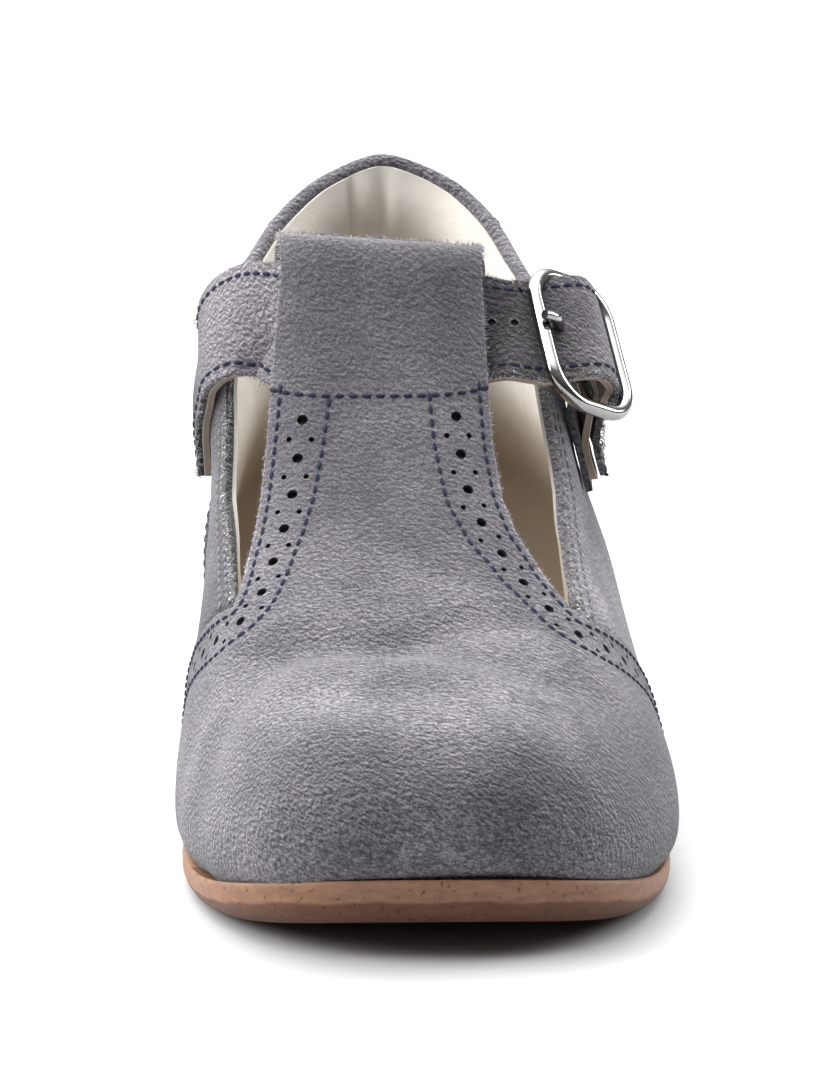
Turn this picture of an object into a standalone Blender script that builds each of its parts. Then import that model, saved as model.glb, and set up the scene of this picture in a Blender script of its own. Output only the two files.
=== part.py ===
"""Left baby shoe: a suede T-bar upper with a buckled instep strap on a low-heeled sole.

Sizes are in millimetres. A place on the shoe is given as x, across it and positive towards the
outer, buckled side; along, from the tip of the toe towards the heel; and z, up from the floor.
The upper follows a last described by level rings: turn goes round a ring, 0 at the toe,
90 degrees at the outer side, -90 at the inner side and 180 at the heel, and level goes up.
"""

import math
from collections import namedtuple

import bmesh
import bpy
import numpy as np

MM = 0.001

# Where the shoe stands: the middle of its box is the origin
MIDDLE_ALONG = 68.5
MIDDLE_X = 1.5

# Sole
SOLE_THICK_TOE = 3.8
SOLE_THICK_HEEL = 3.4
TOE_SPRING = 6.2
TREAD_FRONT = 34.0
TREAD_BACK = 56.0
HEEL_SEAT_START = 100.0
HEEL_HEIGHT = 7.6
HEEL_BREAST = 97.0
HEEL_BREAST_HOLLOW = 4.0
HEEL_TAPER = 0.8
WELT = 0.6
SOLE_BEVEL = 1.8
GAP = 0.3

# Upper and the pieces sewn on it
WALL = 1.8
LOOP_TOP_LEVEL = 10.97
LOOP_MIDDLE_LEVEL = 10.14
LOOP_FLAP = 1.2
OVERLAY = 1.0
COUNTER_TOP = 47.5
TAB_HALF_TOP = 14.4
TAB_HALF_FOOT = 13.2
COLLAR_MARGIN = 1.2
BACK_PEAK = 5.6
BACK_PEAK_X = -1.8
BACK_PEAK_HALF = 18.0
BACK_PEAK_ROUND = 1.6
HEEL_SWING = -1.4
HEEL_SWING_START = 92.0
HEEL_SWING_END = 130.0
INSOLE_THICK = 2.0
INSOLE_INSET = 2.6

# Strap and buckle
STRAP_WIDTH = 14.0
STRAP_THICK = 1.8
CHAPE_WIDTH = 11.0
CHAPE_THICK = 0.9
CHAPE_SLOT = 4.4
FRAME_HALF_LENGTH = 7.0
FRAME_HALF_WIDTH = 9.3
FRAME_CORNER = 3.2
FRAME_WIRE = 1.0
BAR_WIRE = 0.6
BAR_DROP = 1.2
PRONG_WIRE = 0.7

# Waist of the sole, pinched in on each side
WAIST_ALONG = 82.0
WAIST_SPAN = 22.0
WAIST_OUTER = 0.10
WAIST_INNER = 0.16
WAIST_FADE_LEVEL = 5.0

# The last, a row for each level ring: where the ring crosses the toe ridge, where it is widest,
# where it crosses the back of the heel, and how full its two ends are
Ring = namedtuple(
    "Ring",
    "toe_along toe_rise side_along outer inner side_rise heel_along heel_rise ridge toe_full heel_full",
)
RINGS = (
    Ring(3.2, 0.3, 41.0, 30.0, 27.2, 0.3, 131.5, 0.3, 0.6, 0.68, 0.78),
    Ring(1.0, 3.0, 41.0, 31.8, 28.7, 3.2, 133.6, 4.0, 0.6, 0.68, 0.70),
    Ring(0.0, 8.0, 43.0, 31.4, 28.7, 8.5, 135.0, 10.0, 0.4, 0.68, 0.62),
    Ring(1.6, 13.6, 48.0, 29.2, 27.7, 14.5, 135.5, 17.0, 0.0, 0.68, 0.57),
    Ring(6.6, 19.0, 54.0, 26.5, 26.3, 20.0, 135.2, 24.0, -0.5, 0.67, 0.67),
    Ring(16.0, 23.6, 61.0, 23.9, 25.0, 25.2, 134.5, 31.0, -1.4, 0.66, 0.82),
    Ring(29.0, 27.8, 69.0, 22.0, 24.3, 30.0, 133.4, 37.0, -2.4, 0.65, 0.92),
    Ring(42.0, 32.6, 77.0, 20.6, 23.6, 35.0, 132.3, 43.0, -3.0, 0.62, 0.88),
    Ring(53.0, 39.5, 84.0, 19.5, 22.9, 40.0, 131.3, 48.0, -3.2, 0.56, 0.80),
    Ring(61.0, 47.0, 89.0, 18.6, 22.2, 44.5, 130.6, 52.0, -3.2, 0.52, 0.76),
    Ring(66.5, 54.8, 92.0, 17.9, 21.6, 48.5, 130.3, 55.5, -3.2, 0.49, 0.75),
    Ring(71.2, 64.6, 95.0, 17.4, 20.8, 53.0, 130.1, 59.5, -3.2, 0.48, 0.75),
    Ring(74.8, 73.2, 97.5, 17.0, 20.3, 57.0, 130.0, 63.0, -3.2, 0.48, 0.75),
)

# Edges of the T-bar, looking at the toe
BarEdge = namedtuple("BarEdge", "z outer inner")
BAR_EDGES = (
    BarEdge(24.0, 26.4, -27.6),
    BarEdge(28.0, 22.8, -24.0),
    BarEdge(31.0, 19.8, -22.2),
    BarEdge(35.0, 15.8, -20.4),
    BarEdge(39.0, 12.7, -19.0),
    BarEdge(42.5, 11.1, -18.2),
    BarEdge(48.0, 10.1, -17.4),
    BarEdge(53.5, 9.7, -16.8),
    BarEdge(71.0, 9.3, -15.7),
    BarEdge(80.0, 9.2, -15.6),
)

# Front edges of the quarters, looking at the side
QuarterEdge = namedtuple("QuarterEdge", "z outer_along inner_along")
QUARTER_EDGES = (
    QuarterEdge(24.0, 30.5, 30.0),
    QuarterEdge(31.0, 44.0, 40.0),
    QuarterEdge(33.5, 51.0, 47.0),
    QuarterEdge(36.5, 58.5, 55.0),
    QuarterEdge(41.0, 66.5, 65.5),
    QuarterEdge(43.5, 69.5, 68.5),
    QuarterEdge(47.5, 73.0, 72.2),
    QuarterEdge(51.0, 75.5, 75.0),
    QuarterEdge(55.5, 78.5, 78.0),
    QuarterEdge(60.0, 80.5, 80.0),
    QuarterEdge(70.0, 83.0, 82.5),
)

# Collar line, looking at the side
CollarPoint = namedtuple("CollarPoint", "along z")
COLLAR = (
    CollarPoint(72.0, 58.2),
    CollarPoint(80.0, 59.4),
    CollarPoint(86.0, 58.6),
    CollarPoint(92.0, 56.8),
    CollarPoint(99.0, 55.8),
    CollarPoint(107.0, 56.4),
    CollarPoint(116.0, 58.2),
    CollarPoint(122.0, 60.5),
    CollarPoint(128.0, 62.4),
    CollarPoint(131.0, 62.9),
)

# Sloping front edge of the counter, looking at the side
CounterEdge = namedtuple("CounterEdge", "z along")
COUNTER_EDGE = (
    CounterEdge(8.0, 98.0),
    CounterEdge(12.0, 101.0),
    CounterEdge(28.0, 113.0),
    CounterEdge(47.5, 126.5),
    CounterEdge(60.0, 132.0),
)

# The folded end of the T-bar: from its top, back over the strap and down to the seam, with up
# counted from the middle of the strap and depth from the outer face
FlapPoint = namedtuple("FlapPoint", "up depth")
LOOP_FLAP_PATH = (
    FlapPoint(5.6, 0.8),
    FlapPoint(9.2, 0.7),
    FlapPoint(10.5, 1.9),
    FlapPoint(10.9, 3.8),
    FlapPoint(10.4, 5.6),
    FlapPoint(8.6, 6.8),
    FlapPoint(4.0, 7.0),
    FlapPoint(0.0, 7.0),
    FlapPoint(-4.5, 7.0),
    FlapPoint(-7.4, 6.8),
    FlapPoint(-9.2, 5.4),
    FlapPoint(-10.4, 3.2),
    FlapPoint(-11.2, 0.8),
)

# The strap, from its sewn end on the inner quarter, over the throat and down the outer quarter.
# On a quarter or in the loop, lift is how far its middle stands off the last's surface
SidePoint = namedtuple("SidePoint", "along z lift")
FreePoint = namedtuple("FreePoint", "x along z")
LoopPoint = namedtuple("LoopPoint", "turn level lift")
STRAP_SEWN = (
    SidePoint(89.2, 41.4, 1.3),
    SidePoint(88.0, 44.3, 1.35),
    SidePoint(86.4, 47.6, 1.8),
)
STRAP_ARCH = (
    FreePoint(-24.8, 83.9, 52.2),
    FreePoint(-24.6, 81.3, 56.2),
    FreePoint(-22.8, 79.0, 58.9),
    FreePoint(-19.4, 77.0, 60.1),
)
STRAP_IN_LOOP = (
    LoopPoint(-37.0, LOOP_MIDDLE_LEVEL, -4.6),
    LoopPoint(-24.0, LOOP_MIDDLE_LEVEL, -4.1),
    LoopPoint(0.0, LOOP_MIDDLE_LEVEL, -3.9),
    LoopPoint(12.0, LOOP_MIDDLE_LEVEL, -4.0),
    LoopPoint(22.0, LOOP_MIDDLE_LEVEL, -4.7),
)
STRAP_END = (
    SidePoint(84.8, 47.5, 3.8),
    SidePoint(86.0, 42.0, 2.5),
    SidePoint(86.5, 37.0, 2.35),
)
CHAPE_FOOT = (
    SidePoint(84.0, 37.5, 0.8),
    SidePoint(83.6, 43.0, 0.8),
    SidePoint(82.8, 48.0, 0.9),
)

# The buckle's middle and the directions it is set by
BUCKLE_MIDDLE = FreePoint(21.0, 76.5, 57.9)
BUCKLE_RUN = FreePoint(0.70, 0.53, -0.475)
BUCKLE_ASIDE = FreePoint(-0.20, 0.65, 0.73)
FRAME_SHIFT = -0.8

# Paths through the buckle, in its own plane: run along the strap, out from the plane
RunPoint = namedtuple("RunPoint", "run out")
STRAP_IN_BUCKLE = (
    RunPoint(-7.9, -2.65),
    RunPoint(-6.0, -2.35),
    RunPoint(-4.0, -0.75),
    RunPoint(-1.9, 1.05),
    RunPoint(0.0, 1.85),
    RunPoint(1.9, 1.05),
    RunPoint(4.0, -0.75),
    RunPoint(6.0, -2.35),
    RunPoint(7.5, -2.75),
    RunPoint(9.2, -3.5),
)
CHAPE_IN_BUCKLE = (
    RunPoint(5.4, -5.2),
    RunPoint(3.2, -4.0),
    RunPoint(1.2, -2.95),
    RunPoint(0.0, -2.5),
    RunPoint(-0.92, -2.12),
    RunPoint(-1.3, -1.2),
    RunPoint(-0.92, -0.28),
    RunPoint(0.0, 0.1),
    RunPoint(0.92, -0.28),
    RunPoint(1.3, -1.0),
)
PRONG_PATH = (
    RunPoint(1.35, -1.9),
    RunPoint(0.6, -2.6),
    RunPoint(-0.7, -2.6),
    RunPoint(-1.9, -1.7),
    RunPoint(-3.4, -0.3),
    RunPoint(-4.9, 1.1),
    RunPoint(-6.5, 1.85),
    RunPoint(-8.2, 1.8),
)

# Mesh density
TOE_COLUMNS = 13
HEEL_COLUMNS = 30
FOOT_ROWS = 7
BAR_ROWS = 12
QUARTER_ROWS = 8
SOLE_COLUMNS = 30


def column(table, name):
    return np.array([getattr(row, name) for row in table], float)


def smooth_step(value, low, high):
    part = np.clip((np.asarray(value, float) - low) / (high - low), 0.0, 1.0)
    return part * part * (3.0 - 2.0 * part)


def smooth_path(points, count):
    """Points spaced along a smooth curve through the given ones, measured on their first three columns."""
    points = np.asarray(points, float)
    gaps = np.sqrt(np.linalg.norm(np.diff(points[:, :3], axis=0), axis=1))
    knots = np.concatenate([[0.0], np.cumsum(gaps)])
    slopes = np.diff(points, axis=0) / gaps[:, None]
    inner = (slopes[:-1] * gaps[1:, None] + slopes[1:] * gaps[:-1, None]) / (gaps[:-1] + gaps[1:])[:, None]
    tangents = np.vstack([slopes[:1], inner, slopes[-1:]])
    place = np.linspace(0, knots[-1], count)
    start = np.clip(np.searchsorted(knots, place) - 1, 0, len(gaps) - 1)
    gap = gaps[start][:, None]
    part = (place - knots[start])[:, None] / gap
    p0, p1 = points[start], points[start + 1]
    m0, m1 = tangents[start] * gap, tangents[start + 1] * gap
    rise = 3 * (p1 - p0) - 2 * m0 - m1
    return p0 + part * (m0 + part * (rise + part * (2 * (p0 - p1) + m0 + m1)))


def unit(vectors):
    return vectors / np.linalg.norm(vectors, axis=-1, keepdims=True)


def sole_under(along):
    """Height of the sole's underside: toe spring, flat tread, then up to the heel seat."""
    spring = TOE_SPRING * np.clip((TREAD_FRONT - along) / TREAD_FRONT, 0.0, None) ** 2
    return spring + HEEL_HEIGHT * smooth_step(along, TREAD_BACK, HEEL_SEAT_START)


def sole_over(along):
    thin = smooth_step(along, TREAD_BACK, HEEL_SEAT_START)
    return sole_under(along) + SOLE_THICK_TOE + (SOLE_THICK_HEEL - SOLE_THICK_TOE) * thin


RING_TABLE = np.array(RINGS, float)


def ring_at(level):
    """The ring at a level, from a smooth curve through the rows of the table."""
    level = np.clip(np.asarray(level, float), 0.0, len(RINGS) - 1.0)
    start = np.minimum(level.astype(int), len(RINGS) - 2)
    part = (level - start)[..., None]
    below = 2 * RING_TABLE[0] - RING_TABLE[1]
    above = 2 * RING_TABLE[-1] - RING_TABLE[-2]
    padded = np.vstack([below, RING_TABLE, above])
    p0, p1, p2, p3 = (padded[start + k] for k in range(4))
    bend = 2 * p0 - 5 * p1 + 4 * p2 - p3
    row = p1 + 0.5 * part * (p2 - p0 + part * (bend + part * (3 * (p1 - p2) + p3 - p0)))
    return Ring(*np.moveaxis(row, -1, 0))


def heel_swing(along):
    """How far the shoe's middle line moves to the inner side towards the heel."""
    return HEEL_SWING * smooth_step(along, HEEL_SWING_START, HEEL_SWING_END)


def last_point(turn, level):
    """The last's surface, as x, along and z in the last axis of the array."""
    turn, level = np.broadcast_arrays(np.asarray(turn, float), np.asarray(level, float))
    ring = ring_at(level)
    ahead = np.cos(turn)
    aside = np.sin(turn)
    front = ahead >= 0
    reach = np.where(front, ring.side_along - ring.toe_along, ring.heel_along - ring.side_along)
    along = ring.side_along - reach * ahead
    end_rise = np.where(front, ring.toe_rise, ring.heel_rise)
    nearness = np.where(front, 1 - aside**4, ahead**2)
    rise = ring.side_rise + (end_rise - ring.side_rise) * nearness
    mean = (ring.outer + ring.inner) / 2
    lean = (ring.outer - ring.inner) / 2 * np.where(front, 1.0, aside**2)
    half = mean + np.sign(aside) * lean
    spread = np.abs(aside) ** np.where(front, ring.toe_full, ring.heel_full)
    waist = np.where(aside > 0, WAIST_OUTER, WAIST_INNER) * np.clip(1 - level / WAIST_FADE_LEVEL, 0, 1)
    pinch = 1 - waist * np.exp(-(((along - WAIST_ALONG) / WAIST_SPAN) ** 2))
    x = ring.ridge * np.clip(ahead, 0, None) ** 2 + np.sign(aside) * half * spread * pinch
    return np.stack([x + heel_swing(along), along, sole_over(along) + rise], axis=-1)


def last_normal(turn, level):
    step = 1e-3
    round_ring = last_point(turn + step, level) - last_point(turn - step, level)
    up_wall = last_point(turn, level + step) - last_point(turn, level - step)
    return unit(np.cross(round_ring, up_wall))


def off_last(turn, level, lift):
    """A point that stands off the last by lift, inwards where lift is negative."""
    lift = np.asarray(lift, float)[..., None]
    return last_point(turn, level) + lift * last_normal(turn, level)


def turn_where(level, side, wanted, low=0.02, high=math.pi - 0.02):
    """The turn on one side of each level's ring where wanted(point) changes from negative."""
    low = np.full_like(level, low)
    high = np.full_like(level, high)
    for _ in range(40):
        middle = (low + high) / 2
        before = wanted(last_point(side * middle, level)) < 0
        low = np.where(before, middle, low)
        high = np.where(before, high, middle)
    return (low + high) / 2


LEVELS = np.linspace(0.0, len(RINGS) - 1.0, 481)


def bar_edge_turns(side):
    edge = column(BAR_EDGES, "outer" if side > 0 else "inner") * side

    def outside(point):
        return side * point[..., 0] - np.interp(point[..., 2], column(BAR_EDGES, "z"), edge)

    return turn_where(LEVELS, side, outside, high=math.radians(100))


def quarter_edge_turns(side):
    edge = column(QUARTER_EDGES, "outer_along" if side > 0 else "inner_along")

    def behind(point):
        return point[..., 1] - np.interp(point[..., 2], column(QUARTER_EDGES, "z"), edge)

    return turn_where(LEVELS, side, behind)


BAR_TURNS = {side: bar_edge_turns(side) for side in (1, -1)}
QUARTER_TURNS = {side: quarter_edge_turns(side) for side in (1, -1)}


def notch(side):
    """Level and turn of the corner where the T-bar meets the quarter."""
    open_above = np.nonzero(QUARTER_TURNS[side] < BAR_TURNS[side])[0].max() + 1
    return LEVELS[open_above], BAR_TURNS[side][open_above]


NOTCH = {side: notch(side) for side in (1, -1)}


def throat_level(turn):
    """Level of the row that joins the two notches round the toe and round the heel."""
    (outer_level, outer_turn), (inner_level, inner_turn) = NOTCH[1], NOTCH[-1]
    tilt = (outer_level - inner_level) / (math.sin(outer_turn) + math.sin(inner_turn))
    return outer_level + tilt * (np.sin(turn) - math.sin(outer_turn))


def edge_turn(turns, side, level):
    return np.interp(level, LEVELS, turns[side])


def collar_level(turn_at, low):
    """The level where one column of the quarter meets the collar line."""
    levels = np.linspace(low, len(RINGS) - 1.0, 400)
    points = last_point(turn_at(levels), levels)
    line = np.interp(points[:, 1], column(COLLAR, "along"), column(COLLAR, "z"))
    aside = np.hypot(points[:, 0] - BACK_PEAK_X, BACK_PEAK_ROUND) - BACK_PEAK_ROUND
    nearness = np.clip(1 - aside / BACK_PEAK_HALF, 0, 1)
    peak = BACK_PEAK * nearness**1.2 * smooth_step(points[:, 1], 105.0, 122.0)
    return float(np.interp(0.0, points[:, 2] - line - peak, levels))


def world(points):
    moved = np.asarray(points, float) - np.array([MIDDLE_X, MIDDLE_ALONG, 0.0])
    return moved * MM


def material(name, colour, roughness, metallic=0.0):
    made = bpy.data.materials.new(name)
    made.use_nodes = True
    shader = made.node_tree.nodes["Principled BSDF"]
    shader.inputs["Base Color"].default_value = (*colour, 1.0)
    shader.inputs["Roughness"].default_value = roughness
    shader.inputs["Metallic"].default_value = metallic
    return made


def add_object(name, mesh, look, collection):
    made = bpy.data.objects.new(name, mesh)
    collection.objects.link(made)
    if look is not None:
        mesh.materials.append(look)
    return made


def add_grid(build, points, wrap=False):
    """Quads over a grid of places, with rows up and columns along, closed round where wrap is set."""
    rows = [[build.verts.new(place) for place in world(row)] for row in points]
    for low, high in zip(rows, rows[1:]):
        count = len(low) if wrap else len(low) - 1
        for k in range(count):
            after = (k + 1) % len(low)
            build.faces.new((low[k], low[after], high[after], high[k]))


def mesh_of(name, build):
    bmesh.ops.remove_doubles(build, verts=build.verts, dist=2e-6)
    mesh = bpy.data.meshes.new(name)
    build.to_mesh(mesh)
    build.free()
    return mesh


def thicken(target, thickness, offset):
    shell = target.modifiers.new("thickness", "SOLIDIFY")
    shell.thickness = thickness * MM
    shell.offset = offset
    shell.use_even_offset = True


def join_or_cut(target, other, operation):
    change = target.modifiers.new(operation.lower(), "BOOLEAN")
    change.operation = operation
    change.solver = "EXACT"
    change.object = other


def closed_loft(sections):
    """A closed solid through closed sections of equal count, with its two ends filled."""
    build = bmesh.new()
    rows = [[build.verts.new(place) for place in world(section)] for section in sections]
    for low, high in zip(rows, rows[1:]):
        for k in range(len(low)):
            after = (k + 1) % len(low)
            build.faces.new((low[k], low[after], high[after], high[k]))
    build.faces.new(rows[0][::-1])
    build.faces.new(rows[-1])
    bmesh.ops.recalc_face_normals(build, faces=build.faces)
    return build


def strip_sections(middles, normals, width, thick):
    """Rectangles across a strip whose middle and outward direction are known at each step."""
    tangents = unit(np.gradient(middles, axis=0))
    outs = unit(normals - (normals * tangents).sum(1, keepdims=True) * tangents)
    across = np.cross(outs, tangents)
    corners = ((-1, -1), (1, -1), (1, 1), (-1, 1))
    return [
        [m + i * width / 2 * a + j * thick / 2 * o for i, j in corners]
        for m, a, o in zip(middles, across, outs)
    ]


def wire_sections(middles, radius, sides=10, closed=False):
    """Circles along a path, turned as little as possible from one to the next."""
    if closed:
        tangents = unit(np.roll(middles, -1, axis=0) - np.roll(middles, 1, axis=0))
    else:
        tangents = unit(np.gradient(middles, axis=0))
    aside = np.cross(tangents[0], np.array([0.3, 0.5, 0.81]))
    sections = []
    for middle, tangent in zip(middles, tangents):
        aside = unit(aside - aside @ tangent * tangent)
        other = np.cross(tangent, aside)
        angles = np.arange(sides) * 2 * math.pi / sides
        sections.append([middle + radius * (math.cos(q) * aside + math.sin(q) * other) for q in angles])
    return sections


def sole_outline(spread, count):
    """The feather line moved outwards by spread, as a list of outer and inner points from toe to heel."""
    turn = np.linspace(0.0, math.pi, count)
    rows = []
    for side in (1, -1):
        point = last_point(side * turn, np.zeros(count))
        tangent = unit(np.gradient(point[:, :2], axis=0))
        out = np.stack([tangent[:, 1], -tangent[:, 0]], axis=-1) * side
        out[0], out[-1] = (0.0, -1.0), (0.0, 1.0)
        rows.append(point[:, :2] + spread * out)
    return rows


def plate(name, layers, look, collection):
    """A plate through layers, each an outline and a height rule, flat across the shoe."""
    build = bmesh.new()
    rings = []
    for (outer, inner), height in layers:
        loop = np.vstack([outer, inner[-2:0:-1]])
        rings.append([build.verts.new(p) for p in world(np.column_stack([loop, height(loop[:, 1])]))])
    count = len(layers[0][0][0])
    total = len(rings[0])
    for low, high in zip(rings, rings[1:]):
        for k in range(total):
            after = (k + 1) % total
            build.faces.new((low[k], low[after], high[after], high[k]))
    for ring in (rings[0], rings[-1]):
        build.faces.new((ring[0], ring[1], ring[-1]))
        build.faces.new((ring[count - 2], ring[count - 1], ring[count]))
        for k in range(1, count - 2):
            build.faces.new((ring[k], ring[k + 1], ring[total - k - 1], ring[total - k]))
    bmesh.ops.recalc_face_normals(build, faces=build.faces)
    return add_object(name, mesh_of(name, build), look, collection)


def make_outsole(look, collection):
    over = sole_outline(WELT, SOLE_COLUMNS)
    under = sole_outline(WELT - 1.6, SOLE_COLUMNS)
    layers = (
        (under, sole_under),
        (sole_outline(WELT - 0.6, SOLE_COLUMNS), lambda a: sole_under(a) + 0.7),
        (sole_outline(WELT + 0.2, SOLE_COLUMNS), lambda a: sole_under(a) + SOLE_BEVEL),
        (sole_outline(WELT + 0.2, SOLE_COLUMNS), lambda a: sole_over(a) - 0.5),
        (over, sole_over),
    )
    return plate("outsole", layers, look, collection)


def make_insole(look, collection):
    outline = sole_outline(-INSOLE_INSET, SOLE_COLUMNS)
    layers = (
        (outline, lambda a: sole_over(a) + GAP),
        (outline, lambda a: sole_over(a) + GAP + INSOLE_THICK),
    )
    return plate("insole", layers, look, collection)


def heel_outline(spread, count=22):
    """The back of the sole's outline from the breast, with the breast hollowed between its ends."""
    outer, inner = sole_outline(WELT + spread, 121)
    back = []
    for rail in (outer, inner[::-1]):
        order = rail if rail[0, 1] < rail[-1, 1] else rail[::-1]
        alongs = order[:, 1]
        length = (1 - np.cos(np.linspace(0, math.pi / 2, count)))[::-1]
        wanted = alongs[-1] - (alongs[-1] - HEEL_BREAST) * length
        back.append(np.column_stack([np.interp(wanted, alongs, order[:, 0]), wanted]))
    loop = np.vstack([back[0], back[1][-2::-1]])
    share = np.linspace(-1, 1, 9)[1:-1]
    hollow = np.column_stack(
        [
            loop[-1, 0] + (loop[0, 0] - loop[-1, 0]) * (share + 1) / 2,
            HEEL_BREAST + HEEL_BREAST_HOLLOW * (1 - share**2),
        ]
    )
    return np.vstack([loop, hollow])


def make_heel(look, collection):
    top = HEEL_HEIGHT - 0.1 - GAP
    sections = []
    for height, spread in ((0.0, -1.6), (0.5, -0.9), (1.4, -HEEL_TAPER + 0.2), (top, -0.1)):
        loop = heel_outline(spread)
        sections.append(np.column_stack([loop, np.full(len(loop), height)]))
    build = closed_loft(sections)
    return add_object("heel", mesh_of("heel", build), look, collection)


def spaced(count, power):
    """Shares from -1 to 1, closer together in the middle."""
    share = np.linspace(-1, 1, 2 * count + 1)
    return np.sign(share) * np.abs(share) ** power


def make_upper(look, collection, cutters):
    share = spaced(TOE_COLUMNS, 1.25)
    side = np.where(share >= 0, 1, -1)
    notch_turn = np.where(share >= 0, NOTCH[1][1], NOTCH[-1][1])
    toe_turn = share * notch_turn
    heel_share = np.linspace(0, 1, HEEL_COLUMNS + 1)
    heel_turn = NOTCH[1][1] + heel_share * (2 * math.pi - NOTCH[1][1] - NOTCH[-1][1])
    build = bmesh.new()

    ring_turn = np.concatenate([toe_turn, heel_turn[1:-1]])
    heights = np.linspace(0, 1, FOOT_ROWS + 1)[:, None]
    add_grid(build, last_point(ring_turn[None, :], heights * throat_level(ring_turn)), wrap=True)

    base = throat_level(toe_turn)
    bar_rows = []
    for part in np.linspace(0, 1, BAR_ROWS + 1):
        level = base + part * (LOOP_TOP_LEVEL - base)
        edge = np.where(
            side > 0, edge_turn(BAR_TURNS, 1, level), edge_turn(BAR_TURNS, -1, level)
        )
        bar_rows.append(last_point(share * (edge if part else notch_turn), level))
    add_grid(build, np.array(bar_rows))

    quarter = np.zeros((QUARTER_ROWS + 1, HEEL_COLUMNS + 1, 3))
    for k, across in enumerate(heel_share):

        def turn_at(level, across=across):
            outer = edge_turn(QUARTER_TURNS, 1, level)
            inner = edge_turn(QUARTER_TURNS, -1, level)
            return outer + across * (2 * math.pi - outer - inner)

        low = float(throat_level(heel_turn[k]))
        level = low + np.linspace(0, 1, QUARTER_ROWS + 1) * (collar_level(turn_at, low) - low)
        turns = turn_at(level)
        turns[0] = heel_turn[k]
        quarter[:, k] = last_point(turns, level)
    add_grid(build, quarter)

    upper = add_object("upper", mesh_of("upper", build), look, collection)
    thicken(upper, WALL, -1.0)

    join_or_cut(upper, make_loop_fold(cutters), "UNION")
    return upper


def make_loop_fold(cutters):
    """The T-bar's end folded back over the strap, as a bent strip with its ends inside the wall."""
    path = smooth_path(LOOP_FLAP_PATH, 30)
    along_path = unit(np.gradient(path, axis=0))
    across_path = np.column_stack([-along_path[:, 1], along_path[:, 0]]) * LOOP_FLAP / 2
    outline = np.vstack([path + across_path, (path - across_path)[::-1]])
    sections = []
    for share in np.linspace(-0.97, 0.97, 9):
        side = 1 if share > 0 else -1
        turn = share * edge_turn(BAR_TURNS, side, LOOP_MIDDLE_LEVEL)
        up = unit(last_point(turn, LOOP_MIDDLE_LEVEL + 0.1) - last_point(turn, LOOP_MIDDLE_LEVEL - 0.1))
        place = last_point(turn, LOOP_MIDDLE_LEVEL)
        out = last_normal(turn, LOOP_MIDDLE_LEVEL)
        sections.append(place + outline[:, :1] * up - outline[:, 1:] * out)
    fold = closed_loft(sections)
    return add_object("loop_fold", mesh_of("loop_fold", fold), None, cutters)


def heel_patch(name, levels, front_turn, look, collection):
    """A piece laid over the back of the upper, between two front edges."""
    across = np.linspace(0, 1, 25)
    rows = []
    for level in levels:
        outer, inner = front_turn(1, level), front_turn(-1, level)
        turn = outer + across * (2 * math.pi - outer - inner)
        rows.append(off_last(turn, np.full(25, level), np.full(25, GAP)))
    build = bmesh.new()
    add_grid(build, np.array(rows))
    made = add_object(name, mesh_of(name, build), look, collection)
    thicken(made, OVERLAY, 1.0)
    return made


def back_level(height):
    """The level whose ring crosses the back of the heel at a height."""
    points = last_point(np.full_like(LEVELS, math.pi), LEVELS)
    return float(np.interp(height, points[:, 2], LEVELS))


def make_counter(look, collection):
    edge = column(COUNTER_EDGE, "along")

    def behind(point):
        return point[..., 1] - np.interp(point[..., 2], column(COUNTER_EDGE, "z"), edge)

    def front_turn(side, level):
        return float(turn_where(np.array([level]), side, behind)[0])

    levels = np.linspace(0.45, back_level(COUNTER_TOP), 11)
    return heel_patch("counter", levels, front_turn, look, collection)


def make_back_tab(look, collection):
    foot = back_level(COUNTER_TOP + 1.4)
    share = np.linspace(0, 1, 7)
    across = np.linspace(-1, 1, 17)
    grid = np.zeros((7, 17, 3))
    for k, part in enumerate(across):

        def turn_at(level, part=part):
            wide = TAB_HALF_FOOT + (TAB_HALF_TOP - TAB_HALF_FOOT) * smooth_step(level, foot, 10.0)
            reached = turn_where(
                np.atleast_1d(np.asarray(level, float)),
                1,
                lambda point: np.broadcast_to(wide, point.shape[:-1]) - point[..., 0] + heel_swing(point[..., 1]),
                low=math.pi / 2,
            )
            return math.pi - part * (math.pi - reached)

        top = collar_level(turn_at, foot) - COLLAR_MARGIN / 8.0
        level = foot + share * (top - foot)
        grid[:, k] = off_last(turn_at(level), level, np.full(7, GAP))
    build = bmesh.new()
    add_grid(build, grid[:, ::-1])
    made = add_object("back_tab", mesh_of("back_tab", build), look, collection)
    thicken(made, OVERLAY, 1.0)
    return made


def on_side(side, points):
    """Places that stand off one quarter, and the outward directions there."""
    turns, levels = [], []
    for point in points:
        turn = turn_where(LEVELS, side, lambda place: place[..., 1] - point.along)
        height = last_point(side * turn, LEVELS)[:, 2]
        levels.append(np.interp(point.z, height, LEVELS))
        turns.append(side * np.interp(levels[-1], LEVELS, turn))
    turns, levels = np.array(turns), np.array(levels)
    return off_last(turns, levels, column(points, "lift")), last_normal(turns, levels)


def in_loop(points):
    """Places inside the folded end of the T-bar, and the outward directions there."""
    turns, levels = np.radians(column(points, "turn")), column(points, "level")
    return off_last(turns, levels, column(points, "lift")), last_normal(turns, levels)


def between(before, after, count):
    """Directions that turn evenly from one to another, without either of them."""
    share = np.linspace(0, 1, count + 2)[1:-1, None]
    return unit(before + share * (after - before))


def buckle_axes():
    """The buckle's middle, and its directions along the strap, across it and outwards."""
    aside = unit(np.array(BUCKLE_ASIDE))
    run = np.array(BUCKLE_RUN)
    run = unit(run - run @ aside * aside)
    return np.array(BUCKLE_MIDDLE), run, aside, np.cross(run, aside)


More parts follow.
